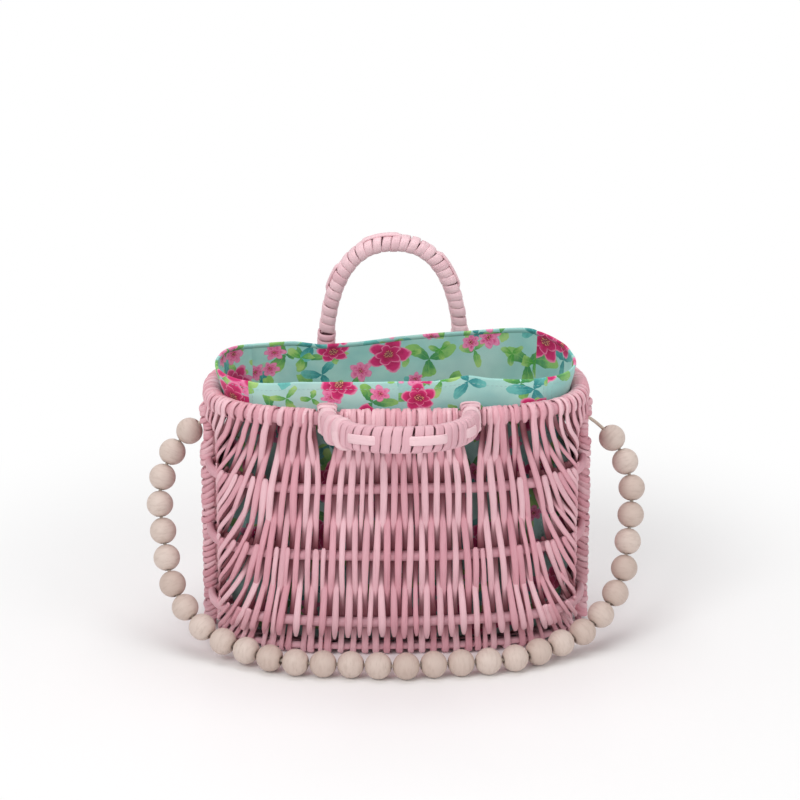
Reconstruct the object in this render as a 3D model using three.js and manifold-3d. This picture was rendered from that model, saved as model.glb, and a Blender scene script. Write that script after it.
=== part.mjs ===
// Wicker basket bag with two hinged handles, a strap of wooden beads and a cloth liner.
// Millimetres, +Z up. The origin is the centre of the base, on the surface that the bag stands on.
// X runs along the length of the bag and +Y points to its back.

import * as THREE from 'three';
import { mergeVertices } from 'three/addons/utils/BufferGeometryUtils.js';
import Module from 'manifold-3d';

const wasm = await Module();
wasm.setup();

// Clearances
const contactGap = 0.3; // between pieces that touch
const handleRunningGap = 1.2; // round the rim rod inside a handle eye, which the bowed rim needs
const eyeSideGap = 1.4; // beside a handle eye, to the wrapped rim
const eyeSweepGap = 1; // outside a handle eye, to the wrapped rim and the wall
const eyeToLinerGap = 2.2; // between a handle eye and the cloth, so that a raised handle can lean in
const reedSeat = 0.5; // under the reed that is wound on a handle
const cordHoleGap = 0.75; // round the strap cord where it passes through the wall
const knotSeat = 0.6; // between a strap knot's edge and the curved inside of the wall

// Plan of the basket, a superellipse through the middle of the wall
const wallHalfLength = 138;
const wallHalfDepth = 68.5;
const planPower = 2.8;
const rimEndInset = 3.5; // how far the thicker rim is drawn in at both ends
const rimNeck = 15; // below the rim rod's centre, where the wall starts to draw in to it

// Heights of the hoops' centres above the floor
const lowerRibHeight = 29.5;
const middleRibHeight = 81;
const upperRibHeight = 132.5;
const rimHeight = 186;

// Rods and withies
const rimRodRadius = 5;
const rimWrapThickness = 2.7;
const sleeveDip = 50; // degrees below level at which the wrapped rim meets the wall
const ribRadius = 3;
const postRadius = 2.5;
const baseHoopRadius = 2.5;
const withyThickness = 1.6; // of the wall outside and inside its ribs
const footRounding = 12; // radius of the edge where the wall turns under
const footReach = 14; // how far the turned-under wall reaches in from its middle
const weaveGapWidth = 8; // of an opening between the withies, at its middle
const weaveGapMargin = 9.5; // from a rib's centre to the tip of an opening
const baseThickness = 4;

// Liner
const clothThickness = 1.5;
const linerStandUp = 26; // above the rim rod's centre
const linerSeamX = 104; // where the corner seams stand

// Handles
const frontHandleReach = 102; // from the rim rod's centre to the outside of the arch
const backHandleReach = 98.2;
const handleHalfSpacing = 51; // from the middle of the bag to an eye
const archPower = 2.4;
const handleCoreThickness = 7; // in the plane of the arch
const handleCoreDepth = 14; // across the arch
const handleCoreChamfer = 2;
const reedThickness = 2;
const reedWidth = 6.6;
const reedTurns = 24;
const reedStart = 15; // from the rim rod's centre along the arch to the first turn
const eyeWall = 4.3;
const eyeWidth = 12;
const frontHandleFold = 80; // degrees from upright, leaning to the front

// Strap
const beadDiameter = 19.7;
const beadPitch = 20;
const beadBore = 5.2;
const beadCount = 32;
const beadSlide = -6; // along the cord, to the left, from the middle of the loop
const cordDiameter = 2.5;
const cordSteps = 78;
const strapDepth = 8; // behind the middle of the bag, just behind the end post
const strapHeight = 159;
const knotThickness = 5.2;
const knotDiameter = 9;
const knotFlatDiameter = 5; // of the flat on each side of a knot
// Right half of the strap's route outside the wall, from the middle on the floor up to the end wall
const strapRoute = [
  [0, -105, 10],
  [29.5, -101.5, 10],
  [81, -94.5, 10.3],
  [109.5, -79.5, 12],
  [139.5, -61, 19.5],
  [164, -39, 44],
  [172, -20.5, 78],
  [174.5, -5.5, 112.5],
  [163.5, 6.5, 139.5],
  [146, 9, 157],
];

// Facets
const halfPlanSteps = 22;
const sleeveSteps = 7;
const footSteps = 3;
const weaveGapSides = 4;
const linerLongSteps = 12;
const linerEndSteps = 10;
const ribSides = 6;
const rodSides = 8;
const archSteps = 28;
const eyeSides = 16;
const beadSides = 10;
const beadRows = 4;
const knotSides = 12;

// Sizes that follow from the ones above
const rimHalfLength = wallHalfLength - rimEndInset;
const wallHalf = ribRadius + contactGap + withyThickness;
const rimSleeveInner = rimRodRadius + contactGap;
const rimSleeveOuter = rimSleeveInner + rimWrapThickness;
const eyeBore = rimRodRadius + handleRunningGap;
const eyeRadius = eyeBore + eyeWall;
const linerOuter = eyeRadius + eyeToLinerGap;
const linerInner = linerOuter + clothThickness;
const linerFoot = baseThickness + contactGap;
const postSlot = postRadius + contactGap;
const wallPlan = { halfLength: wallHalfLength, halfDepth: wallHalfDepth };
const rimPlan = { halfLength: rimHalfLength, halfDepth: wallHalfDepth };
const eyeDepth = planDepthAt(rimPlan, handleHalfSpacing);
const knotFace = planLengthAt(wallPlan, strapDepth + knotDiameter / 2) - wallHalf - knotSeat;

// Finishes
function finish(color, roughness) {
  return new THREE.MeshStandardMaterial({ color, roughness, metalness: 0 });
}
const pinkWicker = finish(0xd8a6a4, 0.62);
const pinkRod = finish(0xcf9a99, 0.6);
const pinkReed = finish(0xddafab, 0.6);
const aquaCotton = finish(0x86cdcb, 0.9);
const paleWood = finish(0xd6c7b4, 0.55);
const paleCord = finish(0xc9bda9, 0.85);

// Half depth of a plan at a distance x from the middle of the bag
function planDepthAt(plan, x) {
  return plan.halfDepth * (1 - (x / plan.halfLength) ** planPower) ** (1 / planPower);
}

// Half length of a plan at a distance y from the middle of the bag
function planLengthAt(plan, y) {
  return plan.halfLength * (1 - (y / plan.halfDepth) ** planPower) ** (1 / planPower);
}

// Plan angle where the plan has a given depth, near the end of the bag
function planAngleAtDepth(plan, depth) {
  return Math.asin((depth / plan.halfDepth) ** (planPower / 2));
}

// Plan angle where the plan has a given distance from the middle of the bag
function planAngleAtX(plan, x) {
  return Math.acos((x / plan.halfLength) ** (planPower / 2));
}

// Point of a plan at an angle, moved outwards by an offset, at a height
function planPoint(plan, angle, offset, height) {
  const signedPower = (value, power) => Math.sign(value) * Math.abs(value) ** power;
  const x = signedPower(Math.cos(angle), 2 / planPower);
  const y = signedPower(Math.sin(angle), 2 / planPower);
  const normal = new THREE.Vector2(
    signedPower(x, planPower - 1) / plan.halfLength,
    signedPower(y, planPower - 1) / plan.halfDepth,
  ).normalize();
  return new THREE.Vector3(
    x * plan.halfLength + offset * normal.x,
    y * plan.halfDepth + offset * normal.y,
    height,
  );
}

// Angles from one plan angle to another, in even steps along the plan
function evenAngles(plan, from, to, steps) {
  const fine = steps * 40;
  const angles = [];
  const lengths = [0];
  let last = null;
  for (let i = 0; i <= fine; i += 1) {
    const angle = from + ((to - from) * i) / fine;
    const point = planPoint(plan, angle, 0, 0);
    if (last) lengths.push(lengths[i - 1] + point.distanceTo(last));
    angles.push(angle);
    last = point;
  }
  const picked = [from];
  let at = 0;
  for (let step = 1; step < steps; step += 1) {
    const wanted = (lengths[fine] * step) / steps;
    while (lengths[at + 1] < wanted) at += 1;
    const share = (wanted - lengths[at]) / (lengths[at + 1] - lengths[at]);
    picked.push(angles[at] + share * (angles[at + 1] - angles[at]));
  }
  picked.push(to);
  return picked;
}

// Closed mesh from vertices and triangles, turned so that its faces point out
function closedMesh(vertices, triangles) {
  const corner = (index) => vertices[index];
  const normal = new THREE.Vector3();
  let volume = 0;
  for (const [a, b, c] of triangles) {
    volume += corner(a).dot(normal.crossVectors(corner(b), corner(c)));
  }
  const facing = volume > 0 ? triangles : triangles.map(([a, b, c]) => [a, c, b]);
  const geometry = new THREE.BufferGeometry();
  const places = vertices.flatMap((v) => v.toArray());
  geometry.setAttribute('position', new THREE.Float32BufferAttribute(places, 3));
  geometry.setIndex(facing.flat());
  return geometry;
}

// Skin over rows of points: each row is one section, drawn as an outline and then its holes
function skin(rows, outline, holes, isLoop) {
  const rowLength = rows[0].length;
  const vertices = rows.flat();
  const triangles = [];
  const loops = [];
  let start = 0;
  for (const loop of [outline, ...holes]) {
    loops.push({ start, length: loop.length });
    start += loop.length;
  }
  const rowPairs = isLoop ? rows.length : rows.length - 1;
  for (let row = 0; row < rowPairs; row += 1) {
    const near = row * rowLength;
    const far = ((row + 1) % rows.length) * rowLength;
    for (const loop of loops) {
      for (let i = 0; i < loop.length; i += 1) {
        const a = loop.start + i;
        const b = loop.start + ((i + 1) % loop.length);
        triangles.push([near + a, near + b, far + b], [near + a, far + b, far + a]);
      }
    }
  }
  if (!isLoop) {
    const lastRow = (rows.length - 1) * rowLength;
    for (const [a, b, c] of THREE.ShapeUtils.triangulateShape(outline, holes)) {
      triangles.push([a, c, b], [lastRow + a, lastRow + b, lastRow + c]);
    }
  }
  return closedMesh(vertices, triangles);
}

// Section carried along a plan; each section point has an offset, a height and its plan
function sweepPlan(outline, holes, angles, isLoop) {
  const points = [outline, ...holes].flat();
  const rows = angles.map((angle) => points.map((p) => planPoint(p.plan, angle, p.x, p.y)));
  return skin(rows, outline, holes, isLoop);
}

function sectionPoint(plan, offset, height) {
  const point = new THREE.Vector2(offset, height);
  point.plan = plan;
  return point;
}

// Points of a circle in a section, from one angle to another in degrees
function sectionArc(plan, offset, height, radius, from, to, steps) {
  const points = [];
  for (let i = 0; i <= steps; i += 1) {
    const angle = THREE.MathUtils.degToRad(from + ((to - from) * i) / steps);
    points.push(sectionPoint(plan, offset + radius * Math.cos(angle), height + radius * Math.sin(angle)));
  }
  return points;
}

function sectionCircle(plan, offset, height, radius, sides) {
  return sectionArc(plan, offset, height, radius, 0, 360 * (1 - 1 / sides), sides - 1);
}

// Angles of the front or back half, from one end post round to the other
function halfRound(side) {
  const start = planAngleAtDepth(wallPlan, postSlot);
  const angles = evenAngles(wallPlan, start, Math.PI - start, halfPlanSteps);
  return side === 'back' ? angles : angles.map((angle) => angle + Math.PI);
}

function allRound() {
  return [...halfRound('back'), ...halfRound('front')];
}

function toSolid(geometry) {
  const bare = geometry.clone();
  bare.deleteAttribute('normal');
  bare.deleteAttribute('uv');
  const merged = mergeVertices(bare, 1e-4);
  return new wasm.Manifold(
    new wasm.Mesh({
      numProp: 3,
      vertProperties: new Float32Array(merged.attributes.position.array),
      triVerts: new Uint32Array(merged.index.array),
    }),
  );
}

function fromSolid(solid) {
  const mesh = solid.getMesh();
  const geometry = new THREE.BufferGeometry();
  geometry.setAttribute('position', new THREE.BufferAttribute(mesh.vertProperties, 3));
  geometry.setIndex(new THREE.BufferAttribute(mesh.triVerts, 1));
  return geometry;
}

// Round bar along X, centred on a point
function barAlongX(radius, length, x, y, z) {
  const bar = new THREE.CylinderGeometry(radius, radius, length, eyeSides);
  bar.rotateZ(Math.PI / 2);
  bar.translate(x, y, z);
  return bar;
}

// Solid of revolution about X from points of radius and distance along X
function turnedAboutX(profile, segments) {
  const points = profile.map(([radius, along]) => new THREE.Vector2(radius, along));
  const turned = new THREE.LatheGeometry(points, segments);
  turned.rotateZ(-Math.PI / 2);
  return fromSolid(outward(turned));
}

// A closed lathe as a solid whose faces point out
function outward(lathe) {
  const bare = lathe.clone();
  bare.deleteAttribute('normal');
  bare.deleteAttribute('uv');
  const merged = mergeVertices(bare, 1e-4);
  const at = merged.attributes.position;
  const vertices = [];
  for (let i = 0; i < at.count; i += 1) vertices.push(new THREE.Vector3().fromBufferAttribute(at, i));
  const triangles = [];
  const index = merged.index.array;
  for (let i = 0; i < index.length; i += 3) {
    const [a, b, c] = [index[i], index[i + 1], index[i + 2]];
    if (a !== b && b !== c && c !== a) triangles.push([a, b, c]);
  }
  return toSolid(closedMesh(vertices, triangles));
}

const bag = new THREE.Group();

function addPiece(parent, name, geometry, material) {
  const mesh = new THREE.Mesh(geometry, material);
  mesh.name = name;
  parent.add(mesh);
  return mesh;
}

// Hoops and ribs: the rim rod and base hoop run all round, each rib is a front and a back rod
function addHoops() {
  const rimSection = sectionCircle(rimPlan, 0, rimHeight, rimRodRadius, rodSides);
  addPiece(bag, 'rim_hoop', sweepPlan(rimSection, [], allRound(), true), pinkRod);
  const hoopOffset = -(wallHalf + contactGap + baseHoopRadius);
  const hoopHeight = baseThickness + contactGap + baseHoopRadius;
  const hoopSection = sectionCircle(wallPlan, hoopOffset, hoopHeight, baseHoopRadius, ribSides);
  addPiece(bag, 'base_hoop', sweepPlan(hoopSection, [], allRound(), true), pinkRod);
  const ribs = { upper: upperRibHeight, middle: middleRibHeight, lower: lowerRibHeight };
  for (const side of ['front', 'back']) {
    for (const [level, height] of Object.entries(ribs)) {
      const section = sectionCircle(wallPlan, 0, height, ribRadius, ribSides);
      addPiece(bag, `${side}_${level}_rib`, sweepPlan(section, [], halfRound(side), false), pinkRod);
    }
  }
}

// An upright post stands at the middle of each end, from the floor to the rim rod
function addEndPosts() {
  const height = rimHeight - rimRodRadius - contactGap;
  for (const [side, sign] of [['left', -1], ['right', 1]]) {
    const post = new THREE.CylinderGeometry(postRadius, postRadius, height, rodSides);
    post.rotateX(Math.PI / 2);
    post.translate(sign * wallHalfLength, 0, height / 2);
    addPiece(bag, `${side}_end_post`, post, pinkRod);
  }
}

// Section of the woven wall: a sleeve round the rim rod, a groove for each rib and a turned-under foot
function wallSection() {
  const grooveHalf = ribRadius + contactGap;
  const [sleeveFrom, sleeveTo] = [-sleeveDip, 180 + sleeveDip];
  const outline = sectionArc(rimPlan, 0, rimHeight, rimSleeveOuter, sleeveFrom, sleeveTo, sleeveSteps);
  outline.push(sectionPoint(wallPlan, -wallHalf, rimHeight - rimNeck));
  outline.push(sectionPoint(wallPlan, -wallHalf, baseThickness));
  outline.push(sectionPoint(wallPlan, -footReach, baseThickness));
  outline.push(sectionPoint(wallPlan, -footReach, 0));
  const footMiddle = wallHalf - footRounding;
  outline.push(...sectionArc(wallPlan, footMiddle, footRounding, footRounding, -90, 0, footSteps));
  for (const height of [lowerRibHeight, middleRibHeight, upperRibHeight]) {
    outline.push(sectionPoint(wallPlan, wallHalf, height - grooveHalf));
    outline.push(sectionPoint(wallPlan, -grooveHalf, height - grooveHalf));
    outline.push(sectionPoint(wallPlan, -grooveHalf, height + grooveHalf));
    outline.push(sectionPoint(wallPlan, wallHalf, height + grooveHalf));
  }
  outline.push(sectionPoint(wallPlan, wallHalf, rimHeight - rimNeck));
  const bore = sectionCircle(rimPlan, 0, rimHeight, rimSleeveInner, rodSides).reverse();
  return { outline, bore };
}

// Openings of one half of the wall: upright lozenges between the ribs, at every second plan station
function weaveGaps(side) {
  const bounds = [lowerRibHeight, middleRibHeight, upperRibHeight, rimHeight - rimNeck];
  const angles = halfRound(side).filter((_, station) => station % 2 === 1);
  const gaps = [];
  for (let row = 0; row + 1 < bounds.length; row += 1) {
    const height = (bounds[row] + bounds[row + 1]) / 2;
    const halfHeight = height - bounds[row] - weaveGapMargin;
    for (const angle of angles) {
      const inside = planPoint(wallPlan, angle, -2 * wallHalf, height);
      const outside = planPoint(wallPlan, angle, 2 * wallHalf, height);
      const gap = new THREE.CylinderGeometry(1, 1, inside.distanceTo(outside), weaveGapSides);
      gap.scale(weaveGapWidth / 2, 1, halfHeight);
      gap.rotateZ(Math.atan2(outside.y - inside.y, outside.x - inside.x) - Math.PI / 2);
      gap.translate((inside.x + outside.x) / 2, (inside.y + outside.y) / 2, height);
      gaps.push(toSolid(gap));
    }
  }
  return gaps;
}

// The woven wall is a front and a back half, open between the withies and at the handle eyes,
// and where the strap goes through
function addWeave() {
  const { outline, bore } = wallSection();
  const cutLength = eyeWidth + 2 * eyeSideGap;
  const holeRadius = cordDiameter / 2 + cordHoleGap;
  for (const [side, sign] of [['front', -1], ['back', 1]]) {
    let wall = toSolid(sweepPlan(outline, [bore], halfRound(side), false));
    for (const x of [-handleHalfSpacing, handleHalfSpacing]) {
      const cut = barAlongX(eyeRadius + eyeSweepGap, cutLength, x, sign * eyeDepth, rimHeight);
      wall = wall.subtract(toSolid(cut));
    }
    const strapHoles = barAlongX(holeRadius, 4 * wallHalfLength, 0, strapDepth, strapHeight);
    wall = wall.subtract(toSolid(strapHoles));
    for (const gap of weaveGaps(side)) wall = wall.subtract(gap);
    addPiece(bag, `${side}_weave`, fromSolid(wall), pinkWicker);
  }
}

// Flat slab with the basket's plan, drawn in by an inset
function planSlab(plan, angles, inset, bottom, top) {
  const corners = angles.map((angle) => planPoint(plan, angle, -inset, 0));
  const outline = new THREE.Shape(corners.map((p) => new THREE.Vector2(p.x, p.y)));
  const slab = new THREE.ExtrudeGeometry(outline, { depth: top - bottom, bevelEnabled: false });
  slab.translate(0, 0, bottom);
  return slab;
}

function addBase() {
  const slab = planSlab(wallPlan, allRound(), footReach + contactGap, 0, baseThickness);
  addPiece(bag, 'base_weave', slab, pinkWicker);
}

// The cloth liner: a bottom and four sides sewn at the corners, standing up above the rim
function addLiner() {
  const top = rimHeight + linerStandUp;
  const section = [
    sectionPoint(rimPlan, -linerOuter, linerFoot),
    sectionPoint(rimPlan, -linerOuter, top),
    sectionPoint(rimPlan, -linerInner, top),
    sectionPoint(rimPlan, -linerInner, linerFoot),
  ];
  const longStart = planAngleAtX(rimPlan, linerSeamX - contactGap / 2);
  const endStop = planAngleAtX(rimPlan, linerSeamX + contactGap / 2);
  const right = evenAngles(rimPlan, -endStop, endStop, linerEndSteps);
  const back = evenAngles(rimPlan, longStart, Math.PI - longStart, linerLongSteps);
  const left = right.map((angle) => angle + Math.PI);
  const front = back.map((angle) => angle + Math.PI);
  for (const [side, angles] of Object.entries({ right, back, left, front })) {
    addPiece(bag, `liner_${side}`, sweepPlan(section, [], angles, false), aquaCotton);
  }
  const round = [...right, ...back, ...left, ...front];
  const baseInset = linerInner + contactGap;
  const bottom = planSlab(rimPlan, round, baseInset, linerFoot, linerFoot + clothThickness);
  addPiece(bag, 'liner_base', bottom, aquaCotton);
}

// Middle line of a handle's arch in its own plane: X across, Z up from the rim rod's centre
const reedBuild = reedSeat + reedThickness;
const archDrop = handleCoreThickness / 2 + reedBuild; // from the outside of the arch to its middle line

function archPoint(angle, archHeight) {
  const across = Math.sign(Math.cos(angle)) * Math.abs(Math.cos(angle)) ** (2 / archPower);
  const up = Math.sin(angle) ** (2 / archPower);
  return new THREE.Vector3(across * handleHalfSpacing, 0, up * archHeight);
}

// Arch stations from a height on one leg to the same height on the other, even along the arch
function archLine(archHeight, startHeight, steps) {
  const first = Math.asin((startHeight / archHeight) ** (archPower / 2));
  const points = [];
  const fine = 400;
  for (let i = 0; i <= fine; i += 1) {
    points.push(archPoint(first + ((Math.PI - 2 * first) * i) / fine, archHeight));
  }
  const curve = new THREE.CatmullRomCurve3(points);
  curve.arcLengthDivisions = 2 * fine;
  const at = (share) => {
    const along = curve.getTangentAt(share);
    return { middle: curve.getPointAt(share), outward: new THREE.Vector3(along.z, 0, -along.x) };
  };
  const stations = [];
  for (let i = 0; i <= steps; i += 1) stations.push(at(i / steps));
  return { at, stations, length: curve.getLength() };
}

// Outline of the handle's core, a rectangle with cut corners, grown by an extra thickness
function coreOutline(extra) {
  const across = handleCoreThickness / 2 + extra;
  const deep = handleCoreDepth / 2 + extra;
  const cut = handleCoreChamfer;
  return [
    [across, cut - deep],
    [across, deep - cut],
    [across - cut, deep],
    [cut - across, deep],
    [-across, deep - cut],
    [-across, cut - deep],
    [cut - across, -deep],
    [across - cut, -deep],
  ].map(([u, v]) => new THREE.Vector2(u, v));
}

function stationPoint(station, corner) {
  const point = station.middle.clone().addScaledVector(station.outward, corner.x);
  point.y += corner.y;
  return point;
}

// The core of a handle: an arch with an eye at each foot that turns on the rim rod
function handleCore(archHeight) {
  const outline = coreOutline(0);
  const footHeight = (eyeBore + eyeRadius) / 2;
  const { stations } = archLine(archHeight, footHeight, archSteps);
  const rows = stations.map((s) => outline.map((c) => stationPoint(s, c)));
  let core = toSolid(skin(rows, outline, [], false));
  const half = eyeWidth / 2;
  const ring = [[eyeBore, -half], [eyeRadius, -half], [eyeRadius, half], [eyeBore, half], [eyeBore, -half]];
  for (const x of [-handleHalfSpacing, handleHalfSpacing]) {
    const eye = turnedAboutX(ring, eyeSides);
    eye.translate(x, 0, 0);
    core = core.add(toSolid(eye));
  }
  return fromSolid(core);
}

// The reed wound on a handle: one unbroken flat strip, a step at each corner of the core
function handleWrap(name, archHeight) {
  const inner = coreOutline(reedSeat);
  const outer = coreOutline(reedSeat + reedThickness);
  const corners = inner.length;
  const line = archLine(archHeight, reedStart, archSteps);
  const pitch = (line.length - reedWidth) / reedTurns;
  const rows = [];
  for (let step = 0; step <= reedTurns * corners; step += 1) {
    const corner = step % corners;
    const near = (pitch * step) / corners;
    const edges = [near, near + reedWidth].map((distance) => line.at(distance / line.length));
    rows.push([
      stationPoint(edges[0], inner[corner]),
      stationPoint(edges[1], inner[corner]),
      stationPoint(edges[1], outer[corner]),
      stationPoint(edges[0], outer[corner]),
    ]);
  }
  console.log(`${name}: least gap to itself ${leastGap(rows, corners).toFixed(2)} mm`);
  const strip = [[0, 0], [1, 0], [1, 1], [0, 1]].map(([u, v]) => new THREE.Vector2(u, v));
  return skin(rows, strip, [], false);
}

// Least distance between one turn's leading edge and the next turn's trailing edge
function leastGap(rows, stepsPerTurn) {
  let least = Infinity;
  const leading = [1, 2];
  const trailing = [0, 3];
  for (let i = 0; i + stepsPerTurn < rows.length; i += 1) {
    for (let j = i + stepsPerTurn / 2 + 1; j < Math.min(rows.length, i + 2 * stepsPerTurn); j += 1) {
      for (const a of leading) {
        for (const b of trailing) least = Math.min(least, rows[i][a].distanceTo(rows[j][b]));
      }
    }
  }
  return least;
}

function addHandles() {
  const pair = [
    { side: 'front', sign: -1, fold: frontHandleFold, reach: frontHandleReach },
    { side: 'back', sign: 1, fold: 0, reach: backHandleReach },
  ];
  for (const { side, sign, fold, reach } of pair) {
    const archHeight = reach - archDrop;
    const handle = new THREE.Group();
    handle.position.set(0, sign * eyeDepth, rimHeight);
    handle.rotation.x = THREE.MathUtils.degToRad(fold);
    addPiece(handle, `${side}_handle_core`, handleCore(archHeight), pinkRod);
    addPiece(handle, `${side}_handle_wrap`, handleWrap(`${side}_handle_wrap`, archHeight), pinkReed);
    bag.add(handle);
  }
}

// The strap's whole route, from the knot inside the left end to the knot inside the right end
function strapCurve() {
  const cordEnd = knotFace + contactGap;
  const wallOutside = wallHalfLength + wallHalf;
  const right = strapRoute.map(([x, y, z]) => new THREE.Vector3(x, y, z));
  right.push(new THREE.Vector3(wallOutside, strapDepth, strapHeight));
  right.push(new THREE.Vector3(wallHalfLength, strapDepth, strapHeight));
  right.push(new THREE.Vector3(cordEnd, strapDepth, strapHeight));
  const left = right.slice(1).reverse().map((p) => new THREE.Vector3(-p.x, p.y, p.z));
  const curve = new THREE.CatmullRomCurve3([...left, ...right], false, 'centripetal');
  curve.arcLengthDivisions = 2000;
  return curve;
}

// Places on one half of the route that are one bead apart, starting half a bead from the slid middle
function beadPlaces(curve, direction) {
  const places = [];
  const step = 1 / 8000;
  let share = 0.5 + beadSlide / curve.getLength();
  let last = curve.getPointAt(share);
  let wanted = beadPitch / 2;
  while (places.length < beadCount / 2 && share > step && share < 1 - step) {
    share += direction * step;
    const point = curve.getPointAt(share);
    if (point.distanceTo(last) >= wanted) {
      places.push({ middle: point, along: curve.getTangentAt(share) });
      last = point;
      wanted = beadPitch;
    }
  }
  return places;
}

// A drilled round bead, its bore along Y
function beadShape() {
  const radius = beadDiameter / 2;
  const bore = beadBore / 2;
  const edge = Math.acos(bore / radius);
  const profile = [];
  for (let i = 0; i <= beadRows; i += 1) {
    const angle = edge * ((2 * i) / beadRows - 1);
    profile.push(new THREE.Vector2(radius * Math.cos(angle), radius * Math.sin(angle)));
  }
  profile.push(profile[0].clone());
  return fromSolid(outward(new THREE.LatheGeometry(profile, beadSides)));
}

// A stopper knot inside the end wall, round about X
function knotShape() {
  const half = knotThickness / 2;
  const radius = knotDiameter / 2;
  const flat = knotFlatDiameter / 2;
  return turnedAboutX([[0, -half], [flat, -half], [radius, 0], [flat, half], [0, half]], knotSides);
}

function addStrap() {
  const curve = strapCurve();
  const circle = new THREE.Path().absarc(0, 0, cordDiameter / 2, 0, 2 * Math.PI);
  const section = new THREE.Shape(circle.getPoints(4));
  const sweep = { steps: cordSteps, extrudePath: curve, bevelEnabled: false };
  const cord = new THREE.ExtrudeGeometry(section, sweep);
  addPiece(bag, 'strap_cord', cord, paleCord);
  for (const [side, sign] of [['left', -1], ['right', 1]]) {
    const knot = addPiece(bag, `strap_knot_${side}`, knotShape(), paleCord);
    knot.position.set(sign * (knotFace - knotThickness / 2), strapDepth, strapHeight);
  }
  const right = beadPlaces(curve, 1);
  const left = beadPlaces(curve, -1).reverse();
  const boreAxis = new THREE.Vector3(0, 1, 0);
  [...left, ...right].forEach((place, i) => {
    const bead = addPiece(bag, `bead_${String(i + 1).padStart(2, '0')}`, beadShape(), paleWood);
    bead.position.copy(place.middle);
    bead.quaternion.setFromUnitVectors(boreAxis, place.along);
  });
}

addHoops();
addEndPosts();
addWeave();
addBase();
addLiner();
addHandles();
addStrap();

export default bag;
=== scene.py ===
import bpy
import bmesh
import math
import random
import numpy as np
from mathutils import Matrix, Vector


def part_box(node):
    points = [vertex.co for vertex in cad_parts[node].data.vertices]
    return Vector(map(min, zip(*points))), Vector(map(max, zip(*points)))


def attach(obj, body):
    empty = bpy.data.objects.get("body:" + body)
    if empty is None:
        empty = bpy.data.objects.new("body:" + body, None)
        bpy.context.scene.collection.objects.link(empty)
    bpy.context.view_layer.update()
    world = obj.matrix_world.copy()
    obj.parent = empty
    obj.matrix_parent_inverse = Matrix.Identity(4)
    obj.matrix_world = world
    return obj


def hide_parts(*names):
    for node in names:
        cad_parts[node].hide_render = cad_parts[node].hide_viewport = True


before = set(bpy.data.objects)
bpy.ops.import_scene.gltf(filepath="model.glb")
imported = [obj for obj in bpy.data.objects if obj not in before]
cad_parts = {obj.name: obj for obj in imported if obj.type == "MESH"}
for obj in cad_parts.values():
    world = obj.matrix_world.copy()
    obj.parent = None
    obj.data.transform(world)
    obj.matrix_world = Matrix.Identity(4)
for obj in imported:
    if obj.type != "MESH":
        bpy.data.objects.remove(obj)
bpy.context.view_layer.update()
scene = bpy.context.scene
mm = 0.001
wholeTurn = 2 * math.pi
upward = np.array([0, 0, 1.0])
print("frame loaded:", len(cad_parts), "solids")


def addObject(name, data):
    made = bpy.data.objects.new(name, data)
    scene.collection.objects.link(made)
    return made


# camera, at the photograph's angle
photoView = {
    "azimuth": -1.8, "elevation": 18.7, "distance": 2.056,
    "target": (0.0029, 0.0, 0.1767), "lens": 125.7, "sensor": 36.0,
}


def placeCamera(look):
    turn, lift = math.radians(look["azimuth"]), math.radians(look["elevation"])
    back = Vector((math.sin(turn) * math.cos(lift), -math.cos(turn) * math.cos(lift), math.sin(lift)))
    lensData = bpy.data.cameras.new("photoCamera")
    lensData.lens, lensData.sensor_width = look["lens"], look["sensor"]
    scene.camera = addObject("photoCamera", lensData)
    scene.camera.location = Vector(look["target"]) + back * look["distance"]
    scene.camera.rotation_euler = (-back).to_track_quat("-Z", "Y").to_euler()


placeCamera(photoView)


# small curve maths

def ramp(value, span):
    return np.clip(value / span, 0, 1)


def ease(share):
    return share * share * (3 - 2 * share)


def smoothStep(value, low, high):
    return ease(ramp(value - low, high - low))


def runAlong(points):
    return np.concatenate([[0], np.cumsum(np.linalg.norm(np.diff(points, axis=0), axis=1))])


def sample(table, run, at):
    return np.stack([np.interp(at, run, column) for column in table.T], 1)


def roundAngles(count):
    return np.linspace(0, wholeTurn, count, endpoint=False)


def blend(t, t0, t1, a, b):
    return (t1 - t) / (t1 - t0) * a + (t - t0) / (t1 - t0) * b


def smoothRoute(points, count):
    # centripetal spline through the points, then evenly spaced stations
    knots = np.array(points, float)
    knots = np.vstack([2 * knots[0] - knots[1], knots, 2 * knots[-1] - knots[-2]])
    dense = []
    for p0, p1, p2, p3 in zip(knots, knots[1:], knots[2:], knots[3:]):
        steps = (p1 - p0, p2 - p1, p3 - p2)
        t1, t2, t3 = np.cumsum([math.sqrt(max(np.linalg.norm(step), 1e-9)) for step in steps])
        t = np.linspace(t1, t2, 14, endpoint=False)[:, None]
        a1, a2, a3 = blend(t, 0, t1, p0, p1), blend(t, t1, t2, p1, p2), blend(t, t2, t3, p2, p3)
        dense.append(blend(t, t1, t2, blend(t, 0, t2, a1, a2), blend(t, t1, t3, a2, a3)))
    line = np.vstack([*dense, knots[-2][None, :]])
    run = runAlong(line)
    return sample(line, run, np.linspace(0, run[-1], count))


def unit(v):
    return v / np.maximum(np.linalg.norm(v, axis=-1, keepdims=True), 1e-12)


def tangents(points, closed=False):
    if closed:
        return unit(np.roll(points, -1, 0) - np.roll(points, 1, 0))
    return unit(np.gradient(points, axis=0))


def squared(points, outward, closed=False):
    # the outward directions made square to the path
    along = tangents(points, closed)
    outward = np.broadcast_to(outward, points.shape)
    return unit(outward - along * (outward * along).sum(1, keepdims=True))


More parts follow.
